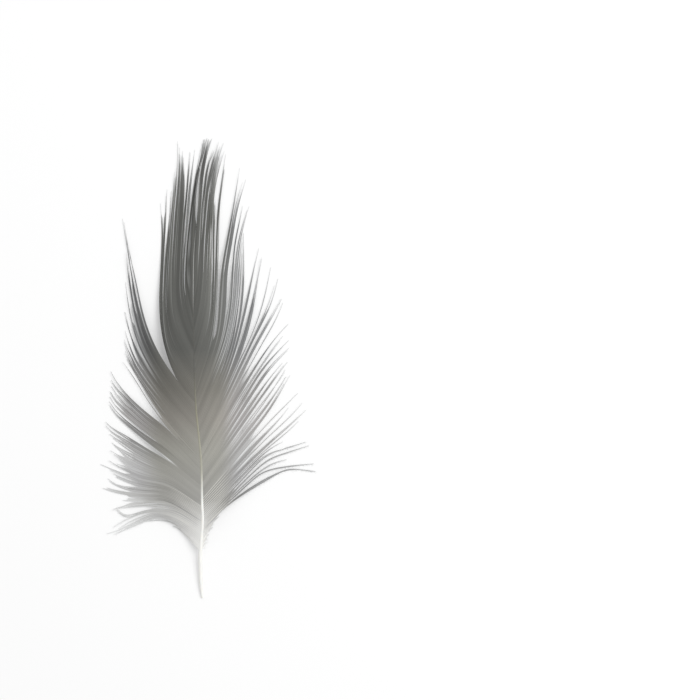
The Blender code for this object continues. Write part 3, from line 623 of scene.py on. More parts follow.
def lay_side(side, barbs):
    """Every barb on one side of the shaft, from the feather's tip down, with its webs and directions."""
    draw = np.random.default_rng(LAYOUT_SEED + side)
    laid = []
    for name, lock in LOCKS.items():
        if lock[0] == side:
            laid += lay_lock(name, barbs, draw)
    lines = np.stack([raise_line(barb, barbs, draw) for barb in laid])
    s = BARB_SHARES
    narrowing = 1 - WEB_NARROWING * smoothstep(NARROWS_FROM, 1.0, s)
    free_width = np.stack([
        barbs.free_width / MM * barb["parting"]["free_web"] * narrowing for barb in laid])
    pale = np.stack([barb["pale"] for barb in laid])
    to_tip, to_quill = ({
        "width": free_width.copy(), "pale": pale.copy(), "hooked": np.zeros_like(pale),
        "slope": np.zeros_like(pale), "room": np.full_like(pale, OPEN_ROOM)} for _ in range(2))
    for i in range(len(laid) - 1):
        upper, lower = laid[i], laid[i + 1]
        parting = upper["parting"]
        start = upper["gap_after"]
        if upper["owner"] == lower["owner"]:
            start = draw.uniform(*SPLIT_STARTS) if draw.uniform(0, 1) < parting["split"] else NEVER
        opened = smoothstep(start, start + parting["opening"], s)
        fray = parting["fray"] * draw.uniform(*FRAY_FACTORS)
        opened = np.maximum(opened, smoothstep(fray, fray + FRAY_RUN, s))
        # Beside a gap, and beside the next lock, the web is painted pale: painted light that comes through
        # the gap
        if upper["name"] == lower["name"]:
            pale_from = max(start - parting["edge_run"], parting["edge_from"])
            edge = parting["edge_paling"] * smoothstep(pale_from, pale_from + EDGE_FADE, s)
            edge = edge * draw.uniform(*EDGE_FACTORS)
        else:
            edge = parting["border_paling"] * smoothstep(start - BORDER_FADE, start + BORDER_FADE, s)
        for web, own, other, share in ((to_quill, i, i + 1, 1), (to_tip, i + 1, i, TIP_SIDE_EDGE)):
            web["pale"][own] = np.maximum(web["pale"][own], edge * share)
            web["width"][own], web["hooked"][own], web["slope"][own], web["room"][own] = hook_webs(
                lines[own], lines[other], opened, web["width"][own], parting, barbs)
        stretched = STRETCHED_PALING * smoothstep(*STRETCHED_GAPS, to_quill["room"][i])
        for web, own in ((to_quill, i), (to_tip, i + 1)):
            web["pale"][own] = np.maximum(web["pale"][own], stretched)
    for web in (to_tip, to_quill):
        web["open"] = 1 - web["hooked"]
    both = np.maximum(to_tip["hooked"] + to_quill["hooked"], 1)
    downhill = (to_quill["slope"] - to_tip["slope"]) / both

    along = unit(np.gradient(lines, axis=1))
    across = unit(np.stack([along[..., 1], -along[..., 0], np.zeros(along.shape[:2])], axis=2))
    across[..., 2] = downhill * side
    across = unit(across - along * (across * along).sum(2, keepdims=True))
    up = np.cross(across, along)
    free = np.stack([barb["free"] for barb in laid])
    roll = (-side * (barbs.roll + barbs.free_roll * free))[..., None]
    plus, minus = (to_tip, to_quill) if side == LEFT else (to_quill, to_tip)
    return {
        "side": side,
        "names": np.array([barb["name"] for barb in laid]),
        "lines": lines,
        "along": along,
        "across": across * np.cos(roll) + up * np.sin(roll),
        "up": up * np.cos(roll) - across * np.sin(roll),
        "plus": plus,
        "minus": minus,
        "barbules": np.array([barb["parting"]["barbules"] for barb in laid]),
        "tint": np.stack([barb["tint"] for barb in laid]),
        "length": np.linalg.norm(np.diff(lines, axis=1), axis=2).sum(1),
        "pattern": draw.uniform(0, 1, len(laid)),
    }


# Modelling of the one barb and of the barbules that are copied


def deselect_all():
    bpy.ops.object.select_all(action="DESELECT")


def select_points(mesh_object, wanted):
    """Selects, in edit mode, the points whose place passes the test."""
    bpy.ops.object.mode_set(mode="OBJECT")
    for point in mesh_object.data.vertices:
        point.select = bool(wanted(point.co))
    for edge in mesh_object.data.edges:
        edge.select = all(mesh_object.data.vertices[i].select for i in edge.vertices)
    for face in mesh_object.data.polygons:
        face.select = all(mesh_object.data.vertices[i].select for i in face.vertices)
    bpy.ops.object.mode_set(mode="EDIT")


def start_pattern(sides, radius):
    """A disc that faces along Y, in edit mode with all of it selected."""
    deselect_all()
    bpy.ops.mesh.primitive_circle_add(
        vertices=sides, radius=radius, fill_type="NGON", rotation=(math.pi / 2, 0, 0))
    bpy.ops.object.transform_apply(location=False, rotation=True, scale=False)
    bpy.ops.object.mode_set(mode="EDIT")
    bpy.ops.mesh.select_mode(type="VERT")
    bpy.ops.mesh.select_all(action="SELECT")
    return bpy.context.object


def finish_pattern(pattern):
    """The points and triangles of a pattern object, which is then removed."""
    bpy.ops.mesh.select_all(action="SELECT")
    bpy.ops.mesh.quads_convert_to_tris()
    bpy.ops.mesh.normals_make_consistent(inside=False)
    bpy.ops.object.mode_set(mode="OBJECT")
    points = np.array([point.co for point in pattern.data.vertices])
    triangles = np.array([face.vertices for face in pattern.data.polygons])
    mesh = pattern.data
    bpy.data.objects.remove(pattern)
    bpy.data.meshes.remove(mesh)
    return points, triangles


def model_barb():
    """One straight barb, 1 long, with webs that reach 1 to each side of a ridge."""
    barb = start_pattern(SECTION_POINTS, 1)
    select_points(barb, lambda co: RIDGE_TOP < abs(co.x) < WEB_EDGE)
    bpy.ops.transform.resize(value=(RIDGE_SIDES, 1, RIDGE_SIDES))
    bpy.ops.mesh.select_all(action="SELECT")
    for _ in range(BARB_ROWS):
        bpy.ops.mesh.extrude_region_move(TRANSFORM_OT_translate={"value": (0, 1 / BARB_ROWS, 0)})
    return finish_pattern(barb)


def model_barbule(rings):
    """One barbule, 1 long and 1 wide at its root: a spike of three sides in the given number of rings."""
    barbule = start_pattern(3, 0.5)
    for ring in range(rings):
        bpy.ops.mesh.extrude_region_move(TRANSFORM_OT_translate={"value": (0, 1 / rings, 0)})
        left = 1 - ring / rings
        now = 1 - (ring + 1) / rings
        if now > 0:
            bpy.ops.transform.resize(value=(now / left, 1, now / left))
        else:
            bpy.ops.mesh.merge(type="CENTER")
    return finish_pattern(barbule)


# Copies of the barb and the barbules, bent along their lines


def ridge_at(barbs, station):
    """Half the width of a barb's ridge at shares of its length."""
    return barbs.ridge_width / MM / 2 * (1 - RIDGE_TAPER * station)


def copy_barbs(side_barbs, chosen, pattern, barbs):
    """The chosen barbs as one set of points, triangles, map places and values."""
    points, triangles = pattern
    row = np.rint(points[:, 1] * BARB_ROWS).astype(int)
    plus, minus = side_barbs["plus"], side_barbs["minus"]

    def at_rows(values):
        return values[chosen][:, row]

    x, z = points[:, 0], points[:, 2]
    s = row / BARB_ROWS
    ridge = ridge_at(barbs, s)
    web_edge = np.abs(x) > WEB_EDGE
    reach = np.where(x > 0, at_rows(plus["width"]), -at_rows(minus["width"]))
    sideways = np.where(web_edge, reach, np.sign(x) * (np.abs(x) > RIDGE_TOP) * ridge)
    ridge_height = np.where(np.abs(x) < RIDGE_TOP, barbs.ridge_height, barbs.ridge_height * SIDE_HEIGHT)
    height = np.where(web_edge, 0, np.sign(z) * ridge * ridge_height)
    placed = (
        at_rows(side_barbs["lines"])
        + at_rows(side_barbs["across"]) * sideways[..., None]
        + at_rows(side_barbs["up"]) * height[..., None]
    )

    count = len(chosen)
    corner_x = x[triangles]
    corner_y = points[:, 1][triangles]
    corner_z = z[triangles]
    on_top = corner_z.mean(1) > 0
    on_ridge = np.where(np.abs(corner_x) > RIDGE_TOP, RIDGE_ON_MAP, 0)
    spread = np.sign(corner_x) * np.where(np.abs(corner_x) > WEB_EDGE, 1.0, on_ridge)
    around = np.where(on_top[:, None], 0.25 * (1 + spread), 0.5 + 0.25 * (1 + spread))
    cap = CAP_ON_MAP * corner_z * (np.ptp(corner_y, axis=1)[:, None] < FLAT)
    along = MAP_START + MAP_LENGTH * corner_y + cap
    low, part = BARBS_ON_MAP
    rows = (np.arange(count)[:, None, None] + low + part * around[None]) / count
    shape = placed.shape[:2]
    return {
        "points": placed,
        "triangles": triangles,
        "places": np.stack([np.broadcast_to(along, rows.shape), rows], axis=-1),
        "along": np.broadcast_to(s, shape),
        "run": s * side_barbs["length"][chosen][:, None],
        "across": sideways,
        "tint": at_rows(side_barbs["tint"]),
        "pale": np.where(x > 0, at_rows(plus["pale"]), at_rows(minus["pale"])),
        "pattern": np.broadcast_to(side_barbs["pattern"][chosen][:, None], shape),
    }


def stations_along(open_part, spacing_count, hooked_density, draw):
    """Places for barbules along a barb: sparser where its web is hooked to the next."""
    density = hooked_density + (1 - hooked_density) * open_part
    steps = np.concatenate([[0], np.cumsum((density[1:] + density[:-1]) / 2)])
    count = max(1, int(spacing_count * density.mean()))
    wanted = (np.arange(count) + draw.uniform(0, 1, count)) / count * steps[-1]
    return np.interp(wanted, steps, np.linspace(0, 1, len(open_part)))


def copy_barbules(side_barbs, chosen, pattern, barbs, barbules, downy, draw):
    """The barbules of the chosen barbs, on both sides of each, as points, triangles and values."""
    points, triangles = pattern
    spacing = (barbules.down_spacing if downy else barbules.spacing) / MM
    quill_hand = -1 if side_barbs["side"] == LEFT else 1
    columns = []
    for way, web in ((1, side_barbs["plus"]), (-1, side_barbs["minus"])):
        sparseness = 1 if way == quill_hand else barbules.tip_side_sparseness
        for i, index in enumerate(chosen):
            number = side_barbs["length"][index] / spacing / sparseness
            found = stations_along(web["open"][index], number, barbules.hooked_density, draw)
            same = [np.full(len(found), value) for value in (index, i, way)]
            columns.append([*same, found, np.interp(found, BARB_SHARES, web["open"][index])])
    barb, row, hand, station, open_part = (np.concatenate(parts) for parts in zip(*columns))
    count = len(barb)

    def at_station(values):
        """Values along the barbs, read between their rows."""
        place = station * BARB_ROWS
        low = np.minimum(place.astype(int), BARB_ROWS - 1)
        part = place - low
        if values.ndim == 3:
            part = part[:, None]
        return values[barb, low] * (1 - part) + values[barb, low + 1] * part

    def on_hand(key):
        """Values of the web on the barbules' own side."""
        return np.where(hand > 0, at_station(side_barbs["plus"][key]), at_station(side_barbs["minus"][key]))

    def along_barbules(values):
        return np.broadcast_to(values[:, None], (count, len(points)))

    line, along, across, up = (at_station(side_barbs[key]) for key in ("lines", "along", "across", "up"))
    room = on_hand("room")
    kind = BARBULE_KINDS["downy" if downy else "firm"]
    longest = side_barbs["barbules"][barb] * barbules.length
    longest = longest * np.where(hand == quill_hand, 1, barbules.tip_side_length)
    angle = np.radians(draw.uniform(*kind["angle"], count))
    shortened = 1 - kind["shortening"] * station ** kind["power"]
    length = longest * draw.uniform(kind["least"], 1, count) * shortened
    if downy:
        length = np.minimum(length, room * DOWN_ROOM)
    else:
        length = np.minimum(length, room * BARBULE_ROOM / np.sin(angle))
        length = length * open_part + (1 - open_part) * on_hand("width") * HOOKED_REACH / np.sin(angle)
    rise = draw.uniform(*kind["rise"], count)
    curl = draw.uniform(*kind["curl"], count)
    width = (barbules.down_width if downy else barbules.width) / MM
    outward = across * hand[:, None]
    direction = unit(
        outward * np.sin(angle)[:, None] + along * np.cos(angle)[:, None] + up * rise[:, None])
    beside = unit(np.cross(direction, up))
    above = np.cross(beside, direction)
    turn = np.cross(direction, above) * -hand[:, None]

    x, t, z = points.T
    root = line + outward * (ridge_at(barbs, station) * BARBULE_FOOT)[:, None]
    placed = (
        root[:, None]
        + direction[:, None] * (length[:, None] * t)[..., None]
        + turn[:, None] * (curl[:, None] * length[:, None] * t**2)[..., None]
        + beside[:, None] * (width * x)[None, :, None]
        + above[:, None] * (width * z)[None, :, None]
    )
    placed[..., 2] = np.maximum(placed[..., 2], LOWEST_BARBULE)

    half = 0.5 * spacing / side_barbs["length"][barb]
    corner_t = t[triangles]
    flat = np.ptp(corner_t, axis=1)[:, None] < FLAT
    shift = np.sign(x[triangles]) + BARBULE_SLANT * z[triangles]
    map_u = np.clip(station[:, None, None] + half[:, None, None] * shift[None], *MAP_LIMITS)
    low, part = BARBULES_ON_MAP
    rise_v = low + part * corner_t + POINT_ON_MAP * flat * z[triangles]
    map_v = (row[:, None, None] + rise_v[None]) / len(chosen)
    run = (station * side_barbs["length"][barb])[:, None] + (length * np.cos(angle))[:, None] * t[None]
    reach = (hand * length * np.sin(angle))[:, None] * t[None]
    return {
        "points": placed,
        "triangles": triangles,
        "places": np.stack([map_u, np.broadcast_to(map_v, map_u.shape)], axis=-1),
        "along": along_barbules(station),
        "run": run,
        "across": reach + (hand * BARBULE_START)[:, None],
        "tint": along_barbules(at_station(side_barbs["tint"])),
        "pale": along_barbules(np.maximum(on_hand("pale"), open_part * barbules.paling)),
        "pattern": along_barbules(side_barbs["pattern"][barb]),
    }


def join_copies(name, groups, look):
    """One object at the origin from sets of copies."""
    points, triangles, places = [], [], []
    values = {key: [] for key in ("along", "run", "across", "tint", "pale", "pattern")}
    first = 0
    for group in groups:
        copies, each = group["points"].shape[:2]
        points.append(group["points"].reshape(-1, 3) * MM)
        offsets = first + each * np.arange(copies)[:, None, None]
        triangles.append((group["triangles"][None] + offsets).reshape(-1, 3))
        places.append(group["places"].reshape(-1, 2))
        for key, found in values.items():
            found.append(np.ascontiguousarray(group[key]).reshape(-1))
        first += copies * each
    points, triangles, places = (np.concatenate(parts) for parts in (points, triangles, places))

    mesh = bpy.data.meshes.new(name)
    mesh.vertices.add(len(points))
    mesh.vertices.foreach_set("co", points.astype(np.float32).ravel())
    mesh.loops.add(triangles.size)
    mesh.loops.foreach_set("vertex_index", triangles.astype(np.int32).ravel())
    mesh.polygons.add(len(triangles))
    mesh.polygons.foreach_set("loop_start", np.arange(0, triangles.size, 3, dtype=np.int32))
    mesh.update(calc_edges=True)
    mesh.set_sharp_from_angle(angle=BARB_EDGE_ANGLE)
    for key, found in values.items():
        attribute = mesh.attributes.new(key, "FLOAT", "POINT")
        attribute.data.foreach_set("value", np.concatenate(found).astype(np.float32))
    layer = mesh.uv_layers.new(name="OFBake")
    layer.data.foreach_set("uv", places.astype(np.float32).ravel())
    mesh.materials.append(look)
    made = bpy.data.objects.new(name, mesh)
    bpy.context.scene.collection.objects.link(made)
    return made


# Materials


class Value:
    """A shader value that Python's operators work on. Each operator adds its Math node."""

    def __init__(self, look, socket):
        self.look = look
        self.socket = socket

    def maths(self, operation, *others):
        inputs = {0: self}
        inputs.update({i + 1: other for i, other in enumerate(others)})
        return self.look.node("ShaderNodeMath", {"operation": operation}, inputs)

    def reflected(self, operation, other):
        return self.look.node("ShaderNodeMath", {"operation": operation}, {0: other, 1: self})

    def __add__(self, other):
        return self.maths("ADD", other)

    def __radd__(self, other):
        return self.reflected("ADD", other)

    def __sub__(self, other):
        return self.maths("SUBTRACT", other)

    def __rsub__(self, other):
        return self.reflected("SUBTRACT", other)

    def __mul__(self, other):
        return self.maths("MULTIPLY", other)

    def __rmul__(self, other):
        return self.reflected("MULTIPLY", other)

    def __abs__(self):
        return self.maths("ABSOLUTE")


class Look:
    """A material in the making."""

    def __init__(self, name):
        self.material = bpy.data.materials.new(name)
        self.material.use_nodes = True
        self.tree = self.material.node_tree
        self.surface = self.tree.nodes["Principled BSDF"]

    def node(self, kind, settings=None, inputs=None, output=0):
        """Adds a node, sets it up, and then gives its sockets their values or links."""
        node = self.tree.nodes.new(kind)
        for key, value in (settings or {}).items():
            if key == "stops":
                self.set_stops(node.color_ramp, value)
            else:
                setattr(node, key, value)
        for key, value in (inputs or {}).items():
            self.feed(node.inputs[key], value)
        return Value(self, node.outputs[output])

    def feed(self, socket, value):
        if isinstance(value, Value):
            self.tree.links.new(value.socket, socket)
        else:
            socket.default_value = value

    @staticmethod
    def set_stops(ramp, stops):
        while len(ramp.elements) < len(stops):
            ramp.elements.new(1)
        for element, (place, colour) in zip(ramp.elements, stops):
            element.position = place
            element.color = (*colour, 1)

    def attribute(self, name):
        return self.node("ShaderNodeAttribute", {"attribute_name": name}, output="Fac")

    def place(self):
        """The place on the object, in millimetres, as three values."""
        place = self.node("ShaderNodeTexCoord", output="Object")
        split = self.tree.nodes.new("ShaderNodeSeparateXYZ")
        self.tree.links.new(place.socket, split.inputs[0])
        return [Value(self, socket) * (1 / MM) for socket in split.outputs]

    def vector(self, x, y, z):
        return self.node("ShaderNodeCombineXYZ", inputs={0: x, 1: y, 2: z})

    def noise(self, values, scales, detail=2.0):
        """Noise with a scale along each of three values."""
        vector = self.vector(*(value * scale for value, scale in zip(values, scales)))
        return self.node(
            "ShaderNodeTexNoise", inputs={"Vector": vector, "Scale": 1.0, "Detail": detail}, output="Fac")

    def bump(self, relief, distance):
        return self.node(
            "ShaderNodeBump", inputs={"Strength": BUMP_STRENGTH, "Distance": distance, "Height": relief})

    def colour_along(self, y, ends, places, settings):
        """Colours that follow each other along the feather, at places between two ends."""
        low, high = ends
        stops = [((place - low) / (high - low), tuple(getattr(settings, key))) for place, key in places]
        return self.node("ShaderNodeValToRGB", {"stops": stops}, {0: (y - low) * (1 / (high - low))})

    def between(self, value, low, high):
        """0 below low, 1 above high, and a smooth rise between them."""
        return self.node(
            "ShaderNodeMapRange", {"interpolation_type": "SMOOTHSTEP"},
            {"Value": value, "From Min": low, "From Max": high})

    def mix(self, factor, first, second, way="MIX"):
        """Mixes two colours."""
        return self.node(
            "ShaderNodeMix", {"data_type": "RGBA", "blend_type": way},
            {0: factor, 6: first, 7: second}, output=2)

    def finish(self, **values):
        """Feeds the surface's own sockets."""
        for key, value in values.items():
            self.feed(self.surface.inputs[key.replace("_", " ")], value)
        return self.material


# The colours along the vane and the shaft: the two ends of the ramp, and for each colour its place along
# the feather, in millimetres, and the setting that holds it
VANE_ENDS = (-40.0, 46.0)
VANE_COLOURS = [
    (-35.0, "base_colour"),
    (-31.0, "down_colour"),
    (-26.0, "pale_colour"),
    (-17.0, "middle_colour"),
    (-10.0, "warm_colour"),
    (-4.0, "olive_colour"),
    (4.0, "dark_colour"),
    (34.0, "dark_colour"),
    (45.0, "tip_colour"),
]
SHAFT_ENDS = (-46.0, 30.0)
SHAFT_COLOURS = [
    (-27.0, "quill_colour"),
    (-20.0, "cream_colour"),
    (-10.0, "olive_colour"),
    (0.0, "end_colour"),
    (11.0, "end_colour"),
    (16.0, "thin_colour"),
]

# Where the vane changes, in millimetres: its right side turns paler outwards and upwards, its left edge
# outwards, and both edges cooler outwards, above the down
RIGHT_OUTWARDS = (-4.0, 6.0)
RIGHT_UPWARDS = (-21.0, -3.0)
LEFT_OUTWARDS = (9.0, 17.0)
COOL_RIGHT = (1.0, 6.0)
COOL_LEFT = (9.0, 15.0)
COOL_ABOVE = (-30.0, -20.0)
COOLNESS = 0.09

# Streaks along each barb, and patches over the whole vane: scales along three values, and strengths
STREAK_SCALES = (0.06, 37.0, 1.5)
PATCH_SCALES = (0.13, 0.06, 0.13)
STREAKS = 0.14
PATCHES = 0.14
DARKEST = 0.86

# The pale parts of a barb: its ridge near the shaft, its root beside the quill, its fringes and tip, and
# the painted light beside gaps.
# Runs are millimetres along the barb, lines are millimetres from its middle.
RIDGE_RUN = (4.0, 10.0)
RIDGE_LINE = (0.02, 0.08)
RIDGE_COLOUR = (0.85, 0.84, 0.79, 1)
ROOT_RUN = (0.3, 1.5)
BESIDE_QUILL = (-32.0, -28.0)
ROOT_PALING = 0.5
ROOT_COLOUR = (0.85, 0.85, 0.83, 1)
FRINGE_AND_SLIT_LIGHT_LINE = (0.01, 0.11)
TIP_FADE = 0.6
FRINGE_AND_SLIT_LIGHT_COLOUR = (0.80, 0.81, 0.81, 1)

# The relief of the barbules that lie hooked in the web: their slant, how close they are, and a grain
WEAVE_SLANT = 1.5
WEAVE_CLOSENESS = 150.0
WEAVE_HEIGHT = 0.5
WEAVE_GRAIN = (4.0, 12.0, 90.0)
BUMP_STRENGTH = 0.3
BARB_RELIEF = 0.01 * MM

# The grain of the horn: its scales, how much it changes the colour and the gloss, its relief, and how far
# red, green and blue light scatter in the horn, in metres
HORN_GRAIN = (6.0, 6.0, 0.35)
HORN_DARKEST = 0.88
HORN_STREAKS = 0.22
HORN_ROUGHNESS = (0.40, 0.2)
HORN_RELIEF = 0.02 * MM
HORN_SCATTER = (0.0006, 0.0005, 0.0004)

# The finish of each slot: how pale the ridges are near the shaft, the share of its length from which a
# barb fades, and how much light passes through
BARB_LOOKS = {
    "dark_barbs": (0.0, 0.88, 0.10),
    "grey_barbs": (0.05, 0.70, 0.15),
    "pale_barbs": (0.65, 0.65, 0.20),
    "down_barbs": (0.75, 0.55, 0.30),
}


def barb_look(name, colours, pale_ridges, fade_start, see_through):
    """Barbs: grey that deepens towards the tip of the feather, with paler fringes, painted light beside
    gaps and faint streaks.
    """
    look = Look(name)
    x, y, z = look.place()
    along, across, run, tint, pale, pattern = (
        look.attribute(key) for key in ("along", "across", "run", "tint", "pale", "pattern"))
    across = abs(across)
    leftwards = x * -1.0

    streaks = look.noise((run, pattern, across), STREAK_SCALES)
    patches = look.noise((x, y, z), PATCH_SCALES)
    right_vane = look.between(x, *RIGHT_OUTWARDS) * look.between(y, *RIGHT_UPWARDS)
    outwards = 1 + right_vane * colours.right_paling
    outwards = outwards + look.between(leftwards, *LEFT_OUTWARDS) * colours.left_paling
    # Each barb's tone: a random part, plus its strand's paleness, which is partly painted light and shade
    level = (DARKEST + streaks * STREAKS + patches * PATCHES) * (1 + tint) * outwards
    to_edges = look.between(x, *COOL_RIGHT) + look.between(leftwards, *COOL_LEFT)
    cool = 1 + to_edges * look.between(y, *COOL_ABOVE) * COOLNESS
    base = look.colour_along(y, VANE_ENDS, VANE_COLOURS, colours)
    base = look.mix(1.0, base, look.vector(level, level, level * cool), "MULTIPLY")

    near_shaft = 1 - look.between(run, *RIDGE_RUN)
    ridge = (1 - look.between(across, *RIDGE_LINE)) * pale_ridges * near_shaft
    base = look.mix(ridge, base, RIDGE_COLOUR)
    at_root = (1 - look.between(run, *ROOT_RUN)) * (1 - look.between(y, *BESIDE_QUILL)) * ROOT_PALING
    base = look.mix(at_root, base, ROOT_COLOUR)
    # Paler fringes and tips, and painted light: the web beside a gap is painted pale for light coming
    # through the slit
    fringe_and_slit_light = look.between(across, *FRINGE_AND_SLIT_LIGHT_LINE) * pale
    fade = look.between(along, fade_start, 1.0) * TIP_FADE
    base = look.mix(fringe_and_slit_light.maths("MAXIMUM", fade), base, FRINGE_AND_SLIT_LIGHT_COLOUR)

    weave = (run - across * WEAVE_SLANT).maths("MULTIPLY", WEAVE_CLOSENESS).maths("SINE")
    relief = weave * WEAVE_HEIGHT + look.noise((run, across, pattern), WEAVE_GRAIN)
    bump = look.bump(relief, BARB_RELIEF)
    look.finish(Base_Color=base, Normal=bump, Roughness=0.75, Specular_IOR_Level=0.2)

    light_through = look.node("ShaderNodeBsdfTranslucent", inputs={"Color": base, "Normal": bump})
    mixed = look.node(
        "ShaderNodeMixShader",
        inputs={0: see_through, 1: Value(look, look.surface.outputs[0]), 2: light_through})
    look.feed(look.tree.nodes["Material Output"].inputs["Surface"], mixed)
    return look.material


def shaft_look(colours):
    """Horn: a white quill that turns cream and then dark grey towards its end."""
    look = Look("shaft horn")
    x, y, z = look.place()
    base = look.colour_along(y, SHAFT_ENDS, SHAFT_COLOURS, colours)
    grain = look.noise((x, z, y), HORN_GRAIN, 4.0)
    level = HORN_DARKEST + grain * HORN_STREAKS
    base = look.mix(1.0, base, look.vector(level, level, level), "MULTIPLY")
    smoothest, rougher = HORN_ROUGHNESS
    return look.finish(
        Base_Color=base, Normal=look.bump(grain, HORN_RELIEF), Roughness=smoothest + grain * rougher,
        Specular_IOR_Level=0.25, Subsurface_Weight=0.15, Subsurface_Radius=HORN_SCATTER)


# Settings


class FeatherShaftSettings(bpy.types.PropertyGroup):
    quill_colour: bpy.props.FloatVectorProperty(
        name="Quill", description="Colour of the bare quill", subtype="COLOR", min=0, max=1,
        default=(0.82, 0.82, 0.79))
    cream_colour: bpy.props.FloatVectorProperty(
        name="Cream", description="Colour of the shaft low in the vane", subtype="COLOR", min=0, max=1,
        default=(0.39, 0.385, 0.325))
    olive_colour: bpy.props.FloatVectorProperty(
        name="Olive", description="Colour of the shaft in the middle of the vane", subtype="COLOR",
        min=0, max=1, default=(0.27, 0.26, 0.195))
    thin_colour: bpy.props.FloatVectorProperty(
        name="Thin end", description="Colour of the shaft where it is thinnest", subtype="COLOR", min=0,
        max=1, default=(0.36, 0.36, 0.35))
    end_colour: bpy.props.FloatVectorProperty(
        name="End", description="Colour of the shaft near its end", subtype="COLOR", min=0, max=1,
        default=(0.095, 0.094, 0.085))
    groove: bpy.props.FloatProperty(
        name="Groove", description="Depth of the groove under the shaft", unit="LENGTH", min=0,
        max=0.0002, default=0.00005)


class FeatherBarbSettings(bpy.types.PropertyGroup):
    spacing: bpy.props.FloatProperty(
        name="Spacing", description="Distance between barbs along the shaft", unit="LENGTH",
        min=0.0003, max=0.002, default=0.0005)
    ridge_width: bpy.props.FloatProperty(
        name="Ridge", description="Width of a barb's ridge where it leaves the shaft", unit="LENGTH",
        min=0.00002, max=0.0003, default=0.00009)
    ridge_height: bpy.props.FloatProperty(
        name="Ridge height", description="Height of a barb's ridge as a share of half its width", min=0.1,
        max=2, default=0.6)
    free_width: bpy.props.FloatProperty(
        name="Free web", description="Width of the web on each side of a barb that stands free",
        unit="LENGTH", min=0, max=0.0003, default=0.00005)
    overlap: bpy.props.FloatProperty(
        name="Overlap", description="How far webs overlap, as a share of half their gap", min=1, max=2,
        default=1.25)
    variation: bpy.props.FloatProperty(
        name="Variation", description="How much paler or darker single barbs are", subtype="FACTOR",
        min=0, max=1, default=0.06)
    waviness: bpy.props.FloatProperty(
        name="Waviness", description="How far a free barb strays from its line", unit="LENGTH", min=0,
        max=0.001, default=0.00008)
    tip_lift: bpy.props.FloatProperty(
        name="Tip lift", description="How far a barb's tip may stand off the floor", unit="LENGTH",
        min=0, max=0.003, default=0.0005)
    roll: bpy.props.FloatProperty(
        name="Roll", description="How far each barb leans over the next, like a roof tile",
        subtype="ANGLE", min=0, max=0.6, default=0.02)
    free_roll: bpy.props.FloatProperty(
        name="Free roll", description="How much more a free barb leans", subtype="ANGLE", min=0, max=0.6,
        default=0.10)
    right_paling: bpy.props.FloatProperty(
        name="Right paling", description="How much paler the right vane is at its edge than at the shaft",
        min=0, max=2, default=0.60)
    left_paling: bpy.props.FloatProperty(
        name="Left paling", description="How much paler the left vane is at its edge", min=0, max=2,
        default=0.16)
    base_colour: bpy.props.FloatVectorProperty(
        name="Base", description="Colour of the down beside the bare quill", subtype="COLOR", min=0,
        max=1, default=(0.88, 0.88, 0.875))
    down_colour: bpy.props.FloatVectorProperty(
        name="Down", description="Colour of the down", subtype="COLOR", min=0, max=1,
        default=(0.67, 0.67, 0.665))
    pale_colour: bpy.props.FloatVectorProperty(
        name="Pale", description="Colour of the vane near the quill", subtype="COLOR", min=0, max=1,
        default=(0.355, 0.351, 0.332))
    middle_colour: bpy.props.FloatVectorProperty(
        name="Middle", description="Colour of the lower vane", subtype="COLOR", min=0, max=1,
        default=(0.335, 0.330, 0.298))
    warm_colour: bpy.props.FloatVectorProperty(
        name="Warm", description="Colour of the middle of the vane", subtype="COLOR", min=0, max=1,
        default=(0.250, 0.238, 0.214))
    olive_colour: bpy.props.FloatVectorProperty(
        name="Olive", description="Colour of the vane above its middle", subtype="COLOR", min=0, max=1,
        default=(0.165, 0.159, 0.141))
    dark_colour: bpy.props.FloatVectorProperty(
        name="Dark", description="Colour of the vane towards its tip", subtype="COLOR", min=0, max=1,
        default=(0.101, 0.102, 0.095))
    tip_colour: bpy.props.FloatVectorProperty(
        name="Tip", description="Colour of the tips of the tuft", subtype="COLOR", min=0, max=1,
        default=(0.150, 0.150, 0.146))


class FeatherBarbuleSettings(bpy.types.PropertyGroup):
    spacing: bpy.props.FloatProperty(
        name="Spacing", description="Distance between the free barbules along a barb", unit="LENGTH",
        min=0.00005, max=0.001, default=0.00010)
    hooked_density: bpy.props.FloatProperty(
        name="Hooked", description="Share of the barbules that are modelled where webs are hooked",
        subtype="FACTOR", min=0, max=1, default=0.0)
    length: bpy.props.FloatProperty(
        name="Length", description="Factor on the length of every barbule", min=0.1, max=3, default=1)
    tip_side_length: bpy.props.FloatProperty(
        name="Tip side", description="Length of the barbules on a barb's side towards the feather's tip",
        subtype="FACTOR", min=0, max=1, default=0.35)
    tip_side_sparseness: bpy.props.FloatProperty(
        name="Tip side spacing", description="How much further apart the barbules on that side are",
        min=1, max=5, default=1.5)
    width: bpy.props.FloatProperty(
        name="Width", description="Width of a firm barbule at its root", unit="LENGTH",
        min=0.000005, max=0.0002, default=0.000028)
    paling: bpy.props.FloatProperty(
        name="Paling", description="How much paler free barbules are than their barb", subtype="FACTOR",
        min=0, max=1, default=0.75)
    down_spacing: bpy.props.FloatProperty(
        name="Down spacing", description="Distance between barbules along a downy barb", unit="LENGTH",
        min=0.00005, max=0.001, default=0.00010)
    down_width: bpy.props.FloatProperty(
        name="Down width", description="Width of a downy barbule at its root", unit="LENGTH",
        min=0.000005, max=0.0002, default=0.000028)


